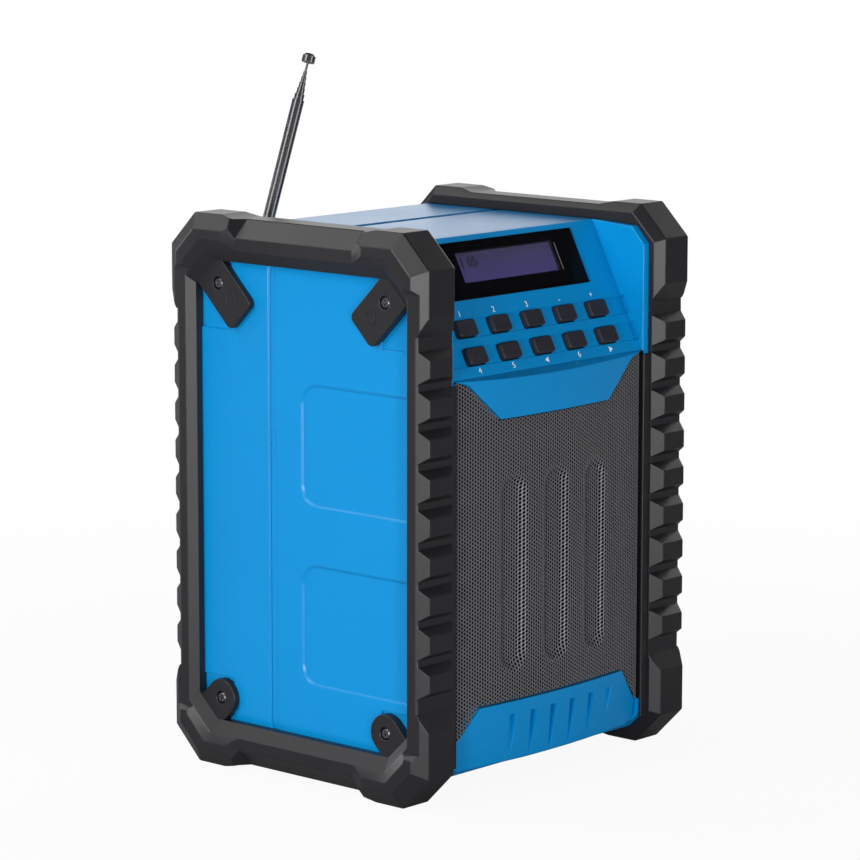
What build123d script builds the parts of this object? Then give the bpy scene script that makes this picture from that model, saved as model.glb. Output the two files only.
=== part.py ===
from build123d import *
import os
from math import cos, radians, sin, sqrt, tan

os.makedirs("parts", exist_ok=True)

# Jobsite radio, in millimetres.
# Origin: middle of the footprint, on the surface it stands on.
# The front with the grille and keys looks along -Y, +X is to its right, +Z is up.

# ---- overall size ----
overall_width = 174.0
overall_depth = 145.0
overall_height = 235.0

# ---- bumper frames ----
bumper_width = 23.0  # how far each frame reaches in from the side
corner_cut = 14.0  # 45 degree cut across each corner of the side outline
block_bevel_side = 6.6  # bevel round the outside of the corner blocks
block_bevel_front = 4.2
inner_bevel = 3.7
block_length = 29.5  # corner block along the top and bottom bars
block_ramp = 7.0  # ramp from the block down to the bar
block_side_length = 32.5
block_side_drop = 22.0
block_side_ramp = 2.0
block_front_drop = 33.4  # block down the front and rear faces
block_front_ramp = 7.6
bar_side_inset = 2.0  # bars lie this far inside the blocks
bar_top_inset = 1.5
bar_front_inset = 4.5
bar_top_bevel = 7.5
rib_rise = 4.3
rib_outer_width = 2.9
rib_outer_depth = 5.6
rib_inner_width = 4.6
rib_inner_depth = 4.1
rib_count = 9
rib_end_gap = 0.5625  # bare bar at its two ends together, in rib pitches
rib_face = 7.3
rib_upper_ramp = 3.3
rib_lower_ramp = 2.7
window_rim_side = 13.0  # outer edge to the window onto the side panel
window_rim_top = 19.5
window_cut = 10.5
ridge_rim_side = 10.0  # the same at the level of the bars
ridge_rim_top = 14.3
ridge_cut = 12.3
block_rim = 10.5  # the same at the level of the blocks
block_rim_cut = 9.7
flange_thickness = 3.2
lip_width = 4.0  # dark lip beside the grille
lip_thickness = 1.4
lip_low_z = 14.0
lip_top_gap = 1.5  # below the panel's foot
tab_width = 17.4
tab_length = 37.8
tab_corner_radius = 3.0
tab_reach = 27.0  # past the window's corner
tab_foot_radius = 8.0
tab_screw_inset = 19.0  # from the front and rear faces of the housing
tab_screw_drop = 29.1  # from the top and bottom of the frame

# ---- housing ----
side_inset = 9.0  # bumper outside to the side panel
front_inset = 6.5
top_inset = 7.6
bottom_inset = 7.5
body_edge_radius = 17.0  # long edges that run front to back
body_corner_cut = 8.0
cheek_fall = 1.4  # top of the cheeks falls towards the front
cheek_cut = 6.6
cheek_drop = 7.3
wall = 2.8
parting_y = 20.5
parting_groove = 0.4
seam_width = 3.5
seam_depth = 0.7
pocket_front_inset = 2.0
pocket_rear_y = 2.5
pocket_height = 51.0
pocket_low_z = 41.6
pocket_high_z = 117.0
pocket_depth = 0.9
pocket_radius = 9.0
pad_depth = 0.8  # seat for the bumper tabs
pad_length = 23.5
pad_top_height = 40.9
pad_bottom_height = 30.1

# ---- control bay ----
bay_rim = 3.2  # from the bumper's inner face to the wall of the bay
bay_wall = 2.5
panel_lean = 27.1
panel_drop = 61.5  # overall top to the foot of the panel
panel_foot_setback = 1.0
panel_thickness = 2.5
panel_gap = 0.1
panel_ledge = 2.0  # seat behind the panel's sides, reach and thickness
window_width = 91.6
window_height = 25.2
window_top = 2.3
window_thickness = 1.5
window_ledge = 2.0
window_radius = 1.5
display_width = 61.0
display_height = 13.4
display_top = 6.7
display_setback = 1.0  # behind the window
band_height = 7.9
band_depth = 0.7
band_overrun = 1.3

# ---- keys ----
key_columns = 5
key_rows = 2
key_pitch = 21.0
key_first_row = 39.6  # down the panel from its top edge
key_row_pitch = 12.0
key_width = 11.5
key_height = 7.0
key_proud = 2.0
key_radius = 1.2
key_edge = 0.5
key_gap = 0.3
key_flange = 1.0
key_flange_thickness = 1.0
key_travel = 1.0
plunger_radius = 1.6
plunger_length = 2.5
switch_height = 2.5
switch_size = 5.0
board_thickness = 1.6
key_board_margin = 6.0

# ---- grille, apron and chin ----
front_bow_radius = 400.0
grille_inset = 2.9  # behind the bumpers' front
grille_gap = 0.2
grille_side_gap = 1.2
grille_thickness = 0.8
channel_pitch = 26.5
channel_width = 15.0
channel_depth = 2.2
channel_draft = 25.0
channel_low_z = 49.5
channel_top_gap = 23.5  # below the apron
baffle_inset = 2.5  # behind the housing's front
baffle_thickness = 3.0
apron_proud = 0.8
apron_height = 18.0
apron_bottom_width = 68.8
apron_shoulder_width = 104.0
apron_shoulder_drop = 2.5
apron_top_fall = 1.8
apron_wall = 2.5
chin_top_z = 36.8
chin_top_width = 91.4
chin_side_z = 21.0
chin_foot_z = 13.4
chin_bottom_z = 10.0
chin_foot_cut = 6.0
chin_inset = 1.5  # behind the bumpers' front
chin_lean = 0.15  # falls back this much for each millimetre down
chin_seat_inset = 4.0  # behind the housing's front
chin_groove_count = 6
chin_groove_pitch = 12.6
chin_groove_shift = 5.0
chin_groove_top = 31.0
chin_groove_foot = 12.5
chin_groove_width = 3.9
chin_groove_foot_width = 1.6
chin_groove_depth = 3.4

# ---- speaker ----
speaker_radius = 51.0
speaker_z = 90.8
speaker_opening = 45.5
speaker_flange = 2.0
basket_depth = 26.0
basket_wall = 1.5
basket_foot_radius = 24.0
basket_windows = 6
magnet_radius = 27.0
magnet_height = 12.0
magnet_edge = 1.0
pole_step = 3.0
surround_width = 6.0
cone_thickness = 0.8
coil_radius = 12.5
coil_gap = 1.0
coil_reach = 2.0  # into the magnet
speaker_ring_inner = 43.0
basket_window_radius = 6.5
surround_thickness = 0.8
surround_rise = 2.4
surround_lap = 2.0
cone_depth = 17.0
cap_rise = 4.0
cap_thickness = 0.6
pole_plate = 3.0
speaker_screw_circle = 48.2

# ---- antenna ----
mast_offset = 3.3  # behind the housing's rear
mast_lean = 20.7
swivel_x = -35.7
swivel_drop = 29.0  # below the overall top
swivel_radius = 5.5
swivel_thickness = 1.4
swivel_gap = 0.1
spindle_radius = 2.6
spindle_nut_radius = 4.5
spindle_nut_height = 2.0
hinge_height = 9.5
mast_radius = 2.6
mast_draws = [0.5, 0.4, 0.3, 0.3, 0.3]  # radius lost at each draw
mast_slide_gap = 0.06
mast_tube_start = 13.0
mast_tube_end = 75.6
mast_step_length = 2.6
mast_floor = 1.5
mast_nest_gap = 0.3
tip_radius = 2.85
tip_height = 3.7
tip_neck_length = 4.0
tip_neck_radius = 0.5
tongue_width = 2.4
ear_gap = 0.1
ear_thickness = 1.3
hinge_pin_radius = 0.9
hinge_clearance = 0.06

# ---- fasteners and fittings ----
screw_radius = 1.5
screw_clearance = 0.1
screw_head_radius = 2.4
screw_head_height = 1.6
head_sink = 0.3
cross_length = 2.6
cross_width = 0.6
cross_depth = 0.8
screw_length = 8.0
short_screw_length = 4.5
boss_radius = 3.8
boss_length = 7.0
housing_screw_side_inset = 22.0
housing_screw_inset = 17.0
housing_screw_depth = 30.0  # sunk from the rear
housing_boss_length = 20.0
flap_width = 38.0
flap_height = 17.0
flap_thickness = 1.8
flap_x = 38.0
flap_z = 48.0
flap_gap = 0.45
flap_peg_radius = 0.7
flap_peg_length = 1.5
flap_backing = 3.0
socket_spacing = 17.0
power_socket_radius = 4.0
power_pin_radius = 1.0
audio_socket_radius = 3.1
audio_bore = 1.75
socket_depth = 9.0
socket_margin = 1.5
socket_shell = 1.0
socket_clearance = 0.1
main_board_width = 96.0
main_board_height = 70.0
main_board_z = 150.0
main_board_setback = 26.0  # before the housing's rear
board_screw_inset = 5.0
shield_width = 36.0
shield_height = 26.0
shield_depth = 6.0
shield_corner = 1.5
shield_edge = 0.6
capacitor_count = 4
capacitor_pitch = 14.0
capacitor_radius = 4.0
capacitor_height = 12.0
capacitor_edge = 0.8
cell_radius = 11.0
cell_length = 60.0
cell_columns = 3
cell_rows = 2
cell_gap = 0.4
cell_cap_radius = 5.5
cell_cap_height = 1.0
tray_wall = 1.6
tray_x = -14.5
tray_height = 30.0
key_post_inset = 7.3  # from the wall of the bay
frame_thickness = 2.0
display_thickness = 1.5
display_margin = 3.0
window_gap = 0.15
switch_button = 0.8
key_post_radius = 2.6

# ---- worked out from the sizes above ----
half_width = overall_width / 2
half_depth = overall_depth / 2
mid_z = overall_height / 2
body_half_width = half_width - side_inset
body_half_depth = half_depth - front_inset
body_top = overall_height - top_inset
body_bottom = bottom_inset
body_mid_z = (body_top + body_bottom) / 2
panel_foot_z = overall_height - panel_drop
apron_bottom_z = panel_foot_z - apron_height
apron_shoulder_z = panel_foot_z - apron_shoulder_drop
channel_high_z = apron_bottom_z - channel_top_gap
lip_high_z = panel_foot_z - lip_top_gap
swivel_z = overall_height - swivel_drop
pad_high_z = body_top - pad_top_height
pad_low_z = body_bottom + pad_bottom_height
grille_front = half_depth - grille_inset
chin_front = half_depth - chin_inset
baffle_front = body_half_depth - baffle_inset
chin_seat = body_half_depth - chin_seat_inset
mast_y = body_half_depth + mast_offset
main_board_y = body_half_depth - main_board_setback
housing_screw_seat = body_half_depth - housing_screw_depth
housing_screw_x = body_half_width - housing_screw_side_inset
tab_screw_y = body_half_depth - tab_screw_inset
pad_front_y = body_half_depth - pad_length
pocket_front_y = pocket_front_inset - body_half_depth
rib_pitch = (overall_height - 2 * block_front_drop - 2 * block_front_ramp) / (rib_count + rib_end_gap)
body_height = body_top - body_bottom
inner_face = half_width - bumper_width
bar_side = half_width - bar_side_inset
flange_face = body_half_width + flange_thickness
bay_half = inner_face - bay_rim
bay_width = 2 * bay_half
panel_foot_y = -body_half_depth + panel_foot_setback
panel_top_y = panel_foot_y + (body_top - panel_foot_z) * tan(radians(panel_lean))
panel_run = panel_thickness / cos(radians(panel_lean))
ledge_run = panel_ledge / cos(radians(panel_lean))
panel_plane = Plane(
    origin=(0, panel_top_y, body_top),
    x_dir=(1, 0, 0),
    z_dir=(0, -cos(radians(panel_lean)), sin(radians(panel_lean))),
)
board_depth = (
    panel_thickness + key_gap + key_flange_thickness + plunger_length + key_travel + key_gap + switch_height
)
grille_half = bay_half - grille_side_gap
chin_width = 2 * grille_half
key_post_x = bay_half - key_post_inset
mast_plane = Plane(
    origin=(swivel_x, mast_y, swivel_z),
    x_dir=(cos(radians(mast_lean)), 0, -sin(radians(mast_lean))),
    z_dir=(sin(radians(mast_lean)), 0, cos(radians(mast_lean))),
)


def bow_drop(x):
    # how far the bowed front falls back at this distance from the middle
    return front_bow_radius - sqrt(front_bow_radius**2 - x**2)


def cut_corners(half_y, half_z, cut, centre=mid_z):
    # rectangle with 45 degree corners, drawn in the current sketch
    Polygon(
        (half_y, centre - half_z + cut),
        (half_y, centre + half_z - cut),
        (half_y - cut, centre + half_z),
        (cut - half_y, centre + half_z),
        (-half_y, centre + half_z - cut),
        (-half_y, centre - half_z + cut),
        (cut - half_y, centre - half_z),
        (half_y - cut, centre - half_z),
        align=None,
    )


def side_outline():
    # housing seen from the side, drawn in the current sketch
    Polygon(
        (body_half_depth, body_bottom + body_corner_cut),
        (body_half_depth, body_top - body_corner_cut),
        (body_half_depth - body_corner_cut, body_top),
        (panel_top_y, body_top),
        (cheek_cut - body_half_depth, body_top - cheek_fall),
        (-body_half_depth, body_top - cheek_fall - cheek_drop),
        (-body_half_depth, body_bottom + body_corner_cut),
        (body_corner_cut - body_half_depth, body_bottom),
        (body_half_depth - body_corner_cut, body_bottom),
        align=None,
    )


def mirrored(points):
    # closes an outline given for the right half by repeating it on the left
    return points + [(-x, z) for x, z in reversed(points)]


# ---- housing form, outside and hollow ----
with BuildPart() as body_form:
    with BuildSketch(Plane.XZ.offset(-body_half_depth)):
        with Locations((0, body_mid_z)):
            RectangleRounded(2 * body_half_width, body_height, body_edge_radius)
    extrude(amount=2 * body_half_depth)
    with BuildSketch(Plane.YZ.offset(-body_half_width)):
        side_outline()
    extrude(amount=2 * body_half_width, mode=Mode.INTERSECT)
    for side in (-1, 1):
        with BuildSketch(Plane.YZ.offset(side * body_half_width)):
            for y in (-1, 1):
                for low, high in ((pad_high_z, body_top), (body_bottom, pad_low_z)):
                    with Locations((y * (pad_front_y + body_half_depth) / 2, (low + high) / 2)):
                        Rectangle(body_half_depth - pad_front_y, high - low)
        extrude(amount=-side * pad_depth, mode=Mode.SUBTRACT)

with BuildPart() as body_hollow:
    with BuildSketch(Plane.XZ.offset(wall - body_half_depth)):
        with Locations((0, body_mid_z)):
            RectangleRounded(
                2 * (body_half_width - wall - pad_depth), body_height - 2 * wall, body_edge_radius - wall
            )
    extrude(amount=2 * (body_half_depth - wall))
    with BuildSketch(Plane.YZ.offset(-body_half_width)):
        side_outline()
        offset(amount=-wall, kind=Kind.INTERSECTION, mode=Mode.REPLACE)
    extrude(amount=2 * body_half_width, mode=Mode.INTERSECT)

# ---- front pieces share this bowed form, cut to depth by each of them ----
with BuildPart() as bow_form:
    with BuildSketch(Plane.XY):
        with BuildLine():
            edge_y = -grille_front + bow_drop(bay_half)
            ThreePointArc((-bay_half, edge_y), (0, -grille_front), (bay_half, edge_y))
            Polyline((bay_half, edge_y), (bay_half, 0), (-bay_half, 0), (-bay_half, edge_y))
        make_face()
    extrude(amount=body_top)

apron_points = mirrored(
    [
        (bay_half - grille_gap, panel_foot_z),
        (apron_shoulder_width / 2, apron_shoulder_z),
        (apron_bottom_width / 2, apron_bottom_z),
    ]
)
chin_points = mirrored(
    [
        (chin_top_width / 2, chin_top_z),
        (chin_width / 2, chin_side_z),
        (chin_width / 2, chin_foot_z),
        (chin_width / 2 - chin_foot_cut, chin_bottom_z),
    ]
)


speaker_axis = Axis((0, 0, speaker_z), (0, 1, 0))
speaker_back = baffle_thickness - baffle_front  # where the speaker's flange sits
housing_screw_z = (body_top - housing_screw_inset, body_bottom + housing_screw_inset)
tab_screw_z = (overall_height - tab_screw_drop, tab_screw_drop)
key_places = [
    ((column - (key_columns - 1) / 2) * key_pitch, -key_first_row - row * key_row_pitch)
    for row in range(key_rows)
    for column in range(key_columns)
]
key_post_places = [
    (side * key_post_x, -key_first_row - row * key_row_pitch) for row in range(key_rows) for side in (-1, 1)
]
board_post_places = [
    (
        x * (main_board_width / 2 - board_screw_inset),
        main_board_z + z * (main_board_height / 2 - board_screw_inset),
    )
    for x in (-1, 1)
    for z in (-1, 1)
]
inner_side = body_half_width - wall - pad_depth

def cross_head_screw(length):
    # head upwards, seat at the origin
    with BuildPart() as screw:
        Cylinder(screw_head_radius, screw_head_height, align=(Align.CENTER, Align.CENTER, Align.MIN))
        chamfer(screw.edges().group_by(Axis.Z)[-1], length=screw_head_height * 0.4)
        with BuildSketch(Plane.XY.offset(screw_head_height)):
            Rectangle(cross_length, cross_width)
            Rectangle(cross_width, cross_length)
        extrude(amount=-cross_depth, mode=Mode.SUBTRACT)
        Cylinder(screw_radius, length, align=(Align.CENTER, Align.CENTER, Align.MAX))
    return screw.part


screw_form = cross_head_screw(screw_length)
short_screw_form = cross_head_screw(short_screw_length)
long_screw_form = cross_head_screw(screw_length + housing_screw_seat - parting_y)

# ---- blue front housing: shell, cheeks beside the panel bay, baffle and grille seat ----
with BuildPart() as front_housing:
    add(body_form.part)
    add(body_hollow.part, mode=Mode.SUBTRACT)
    with BuildSketch(Plane.YZ.offset(-bay_half - bay_wall)):
        side_outline()
        with BuildSketch(mode=Mode.INTERSECT):
            Polygon(
                (-overall_depth, panel_foot_z - panel_run),
                (panel_foot_y + panel_run + ledge_run, panel_foot_z - panel_run),
                (panel_foot_y + panel_run + ledge_run, panel_foot_z),
                (panel_top_y + panel_run + ledge_run, body_top),
                (-overall_depth, body_top),
                align=None,
            )
    extrude(amount=bay_width + 2 * bay_wall)
    with BuildSketch(Plane.XZ.offset(baffle_front - baffle_thickness)):
        with Locations((0, body_mid_z)):
            RectangleRounded(2 * inner_side, body_height - 2 * wall, body_edge_radius - wall)
        with Locations((0, speaker_z)):
            Circle(speaker_opening, mode=Mode.SUBTRACT)
        with Locations((0, body_top)):
            Rectangle(2 * body_half_width, 2 * (body_top - panel_foot_z), mode=Mode.SUBTRACT)
    extrude(amount=baffle_thickness)
    add(body_form.part, mode=Mode.INTERSECT)
    with BuildSketch(Plane.XZ.offset(-speaker_back)):
        with Locations((0, speaker_z)):
            with PolarLocations(speaker_screw_circle, 4, start_angle=45):
                Circle(screw_radius)
    extrude(amount=short_screw_length - speaker_flange, mode=Mode.SUBTRACT)
    # open the bay for the panel, with a ledge behind each of its sides
    with BuildSketch(Plane.YZ.offset(-bay_half)):
        Polygon(
            (-overall_depth, panel_foot_z),
            (panel_foot_y + panel_run, panel_foot_z),
            (panel_top_y + panel_run, body_top),
            (panel_top_y + panel_run, body_top + wall),
            (-overall_depth, body_top + wall),
            align=None,
        )
    extrude(amount=bay_width, mode=Mode.SUBTRACT)
    ceiling_back = wall * tan(radians(panel_lean))
    with BuildSketch(Plane.YZ.offset(panel_ledge - bay_half)):
        Polygon(
            (panel_foot_y, panel_foot_z),
            (panel_foot_y + panel_run + 2 * ledge_run, panel_foot_z),
            (panel_top_y + panel_run + 2 * ledge_run - ceiling_back, body_top - wall),
            (panel_top_y - ceiling_back, body_top - wall),
            align=None,
        )
    extrude(amount=bay_width - 2 * panel_ledge, mode=Mode.SUBTRACT)
    # seat for grille, apron and chin
    with BuildSketch(Plane.XZ.offset(baffle_front)):
        with Locations((0, (chin_bottom_z + panel_foot_z) / 2)):
            Rectangle(bay_width, panel_foot_z - chin_bottom_z)
    extrude(amount=baffle_front, mode=Mode.SUBTRACT)
    with BuildSketch(Plane.XZ.offset(chin_seat)):
        with Locations((0, (chin_bottom_z + chin_top_z + grille_gap) / 2)):
            Rectangle(bay_width, chin_top_z + grille_gap - chin_bottom_z)
    extrude(amount=baffle_front, mode=Mode.SUBTRACT)
    # the panel's two bands run on into the cheeks
    for reach in (band_overrun, -band_depth):
        with BuildSketch(panel_plane):
            for row in range(key_rows):
                with Locations((0, -key_first_row - row * key_row_pitch)):
                    Rectangle(bay_width + 2 * band_overrun, band_height)
        extrude(amount=reach, mode=Mode.SUBTRACT)
    for side in (-1, 1):
        # shallow pockets in the side panel
        with BuildSketch(Plane.YZ.offset(side * body_half_width)):
            for low in (pocket_low_z, pocket_high_z):
                with Locations(((pocket_front_y + pocket_rear_y) / 2, low + pocket_height / 2)):
                    RectangleRounded(pocket_rear_y - pocket_front_y, pocket_height, pocket_radius)
        extrude(amount=-side * pocket_depth, taper=45, mode=Mode.SUBTRACT)
        for z in tab_screw_z:
            with BuildSketch(Plane.YZ.offset(side * inner_side)):
                with Locations((-tab_screw_y, z)):
                    Circle(boss_radius)
            extrude(amount=-side * boss_length)
            with BuildSketch(Plane.YZ.offset(side * body_half_width)):
                with Locations((-tab_screw_y, z)):
                    Circle(screw_radius)
            extrude(amount=-side * screw_length, mode=Mode.SUBTRACT)
        for z in housing_screw_z:
            with BuildSketch(Plane.XZ.offset(-parting_y)):
                with Locations((side * housing_screw_x, z)):
                    Circle(boss_radius)
                with Locations((side * (housing_screw_x + inner_side) / 2, z)):
                    Rectangle(inner_side - housing_screw_x, wall)
            extrude(amount=housing_boss_length)
            with BuildSketch(Plane.XZ.offset(-parting_y)):
                with Locations((side * housing_screw_x, z)):
                    Circle(screw_radius)
            extrude(amount=housing_boss_length - wall, mode=Mode.SUBTRACT)
    # groove beside the parting line, then everything behind the line goes
    with BuildSketch(Plane.XZ.offset(-parting_y)):
        with Locations((0, body_mid_z)):
            Rectangle(overall_width, overall_height)
            RectangleRounded(
                2 * (body_half_width - seam_depth),
                body_height - 2 * seam_depth,
                body_edge_radius - seam_depth,
                mode=Mode.SUBTRACT,
            )
    extrude(amount=seam_width, mode=Mode.SUBTRACT)
    with BuildSketch(Plane.XZ.offset(-parting_y)):
        with Locations((0, body_mid_z)):
            Rectangle(overall_width, overall_height)
    extrude(amount=-overall_depth, mode=Mode.SUBTRACT)

# ---- blue control panel: leaning sheet with bands, window seat, key holes and posts ----
with BuildPart() as control_panel:
    with BuildSketch(Plane.YZ.offset(panel_gap - bay_half)):
        Polygon(
            (panel_foot_y, panel_foot_z),
            (panel_foot_y + panel_run, panel_foot_z),
            (panel_top_y + panel_run, body_top),
            (panel_top_y, body_top),
            align=None,
        )
    extrude(amount=bay_width - 2 * panel_gap)
    with BuildSketch(panel_plane):
        for row in range(key_rows):
            with Locations((0, -key_first_row - row * key_row_pitch)):
                Rectangle(bay_width, band_height)
    extrude(amount=-band_depth, mode=Mode.SUBTRACT)
    # window seat with its ledge
    with BuildSketch(panel_plane):
        with Locations((0, -window_top - window_height / 2)):
            RectangleRounded(window_width, window_height, window_radius)
    extrude(amount=-window_thickness, mode=Mode.SUBTRACT)
    with BuildSketch(panel_plane):
        with Locations((0, -window_top - window_height / 2)):
            Rectangle(window_width - 2 * window_ledge, window_height - 2 * window_ledge)
    extrude(amount=-panel_thickness, mode=Mode.SUBTRACT)
    # posts behind the panel for the key board
    with BuildSketch(panel_plane.offset(-panel_thickness)):
        with Locations(*key_post_places):
            Circle(key_post_radius)
    extrude(amount=panel_thickness - board_depth)
    with BuildSketch(panel_plane.offset(-board_depth)):
        with Locations(*key_post_places):
            Circle(screw_radius)
    extrude(amount=screw_length - board_thickness, mode=Mode.SUBTRACT)
    with BuildSketch(panel_plane):
        with Locations(*key_places):
            RectangleRounded(key_width + 2 * key_gap, key_height + 2 * key_gap, key_radius + key_gap)
    extrude(amount=-panel_thickness, mode=Mode.SUBTRACT)

# ---- blue rear housing: shell, screw posts, socket recess and antenna bearing ----
flap_hinge_y = body_half_depth - flap_thickness / 2
flap_hinge_z = flap_z + flap_height / 2 - flap_thickness / 2
with BuildPart() as rear_housing:
    add(body_form.part)
    add(body_hollow.part, mode=Mode.SUBTRACT)
    with BuildSketch(Plane.XZ.offset(wall - body_half_depth)):
        with Locations((flap_x, flap_z)):
            Rectangle(flap_width + 2 * flap_backing, flap_height + 2 * flap_backing)
        with Locations(*board_post_places):
            Circle(boss_radius)
    extrude(amount=flap_backing)
    with BuildSketch(Plane.XZ.offset(-main_board_y - board_thickness)):
        with Locations(*board_post_places):
            Circle(boss_radius)
    extrude(amount=main_board_y + board_thickness + wall - body_half_depth)
    with BuildSketch(Plane.XZ.offset(-main_board_y - board_thickness)):
        with Locations(*board_post_places):
            Circle(screw_radius)
    extrude(amount=-screw_length, mode=Mode.SUBTRACT)
    with BuildSketch(Plane.XZ.offset(-parting_y)):
        for side in (-1, 1):
            for z in housing_screw_z:
                with Locations((side * housing_screw_x, z)):
                    Circle(boss_radius + screw_clearance)
                with Locations((side * (housing_screw_x + inner_side) / 2, z)):
                    Rectangle(inner_side - housing_screw_x, wall)
    extrude(amount=parting_y + wall - body_half_depth)
    with BuildSketch(Plane.XZ.offset(-body_half_depth)):
        for side in (-1, 1):
            for z in housing_screw_z:
                with Locations((side * housing_screw_x, z)):
                    Circle(screw_head_radius + screw_clearance)
    extrude(amount=body_half_depth - housing_screw_seat, mode=Mode.SUBTRACT)
    with BuildSketch(Plane.XZ.offset(-housing_screw_seat)):
        for side in (-1, 1):
            for z in housing_screw_z:
                with Locations((side * housing_screw_x, z)):
                    Circle(screw_radius + screw_clearance)
    extrude(amount=housing_screw_seat, mode=Mode.SUBTRACT)
    for side in (-1, 1):
        for z in tab_screw_z:
            with BuildSketch(Plane.YZ.offset(side * inner_side)):
                with Locations((tab_screw_y, z)):
                    Circle(boss_radius)
            extrude(amount=-side * boss_length)
            with BuildSketch(Plane.YZ.offset(side * body_half_width)):
                with Locations((tab_screw_y, z)):
                    Circle(screw_radius)
            extrude(amount=-side * screw_length, mode=Mode.SUBTRACT)
    # recess for the rubber flap, its peg holes and the two sockets behind it
    with BuildSketch(Plane.XZ.offset(-body_half_depth)):
        with Locations((flap_x, flap_z)):
            Rectangle(flap_width + 2 * flap_gap, flap_height + 2 * flap_gap)
    extrude(amount=flap_thickness + flap_gap, mode=Mode.SUBTRACT)
    with BuildSketch(Plane.YZ.offset(flap_x - flap_width / 2 - flap_gap - flap_peg_length)):
        with Locations((flap_hinge_y, flap_hinge_z)):
            Circle(flap_peg_radius + hinge_clearance)
    extrude(amount=flap_width + 2 * flap_gap + 2 * flap_peg_length, mode=Mode.SUBTRACT)
    with BuildSketch(Plane.XZ.offset(-body_half_depth)):
        with Locations((flap_x - socket_spacing / 2, flap_z)):
            Circle(power_socket_radius + socket_clearance)
        with Locations((flap_x + socket_spacing / 2, flap_z)):
            Circle(audio_socket_radius + socket_clearance)
        with Locations((swivel_x, swivel_z)):
            Circle(spindle_radius + hinge_clearance)
    extrude(amount=wall + flap_backing, mode=Mode.SUBTRACT)
    with BuildSketch(Plane.XZ.offset(-parting_y - parting_groove)):
        with Locations((0, body_mid_z)):
            Rectangle(overall_width, overall_height)
            RectangleRounded(
                2 * (body_half_width - parting_groove),
                body_height - 2 * parting_groove,
                body_edge_radius - parting_groove,
                mode=Mode.SUBTRACT,
            )
    extrude(amount=parting_groove, mode=Mode.SUBTRACT)
    with BuildSketch(Plane.XZ.offset(-parting_y)):
        with Locations((0, body_mid_z)):
            Rectangle(overall_width, overall_height)
    extrude(amount=overall_depth, mode=Mode.SUBTRACT)

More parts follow.
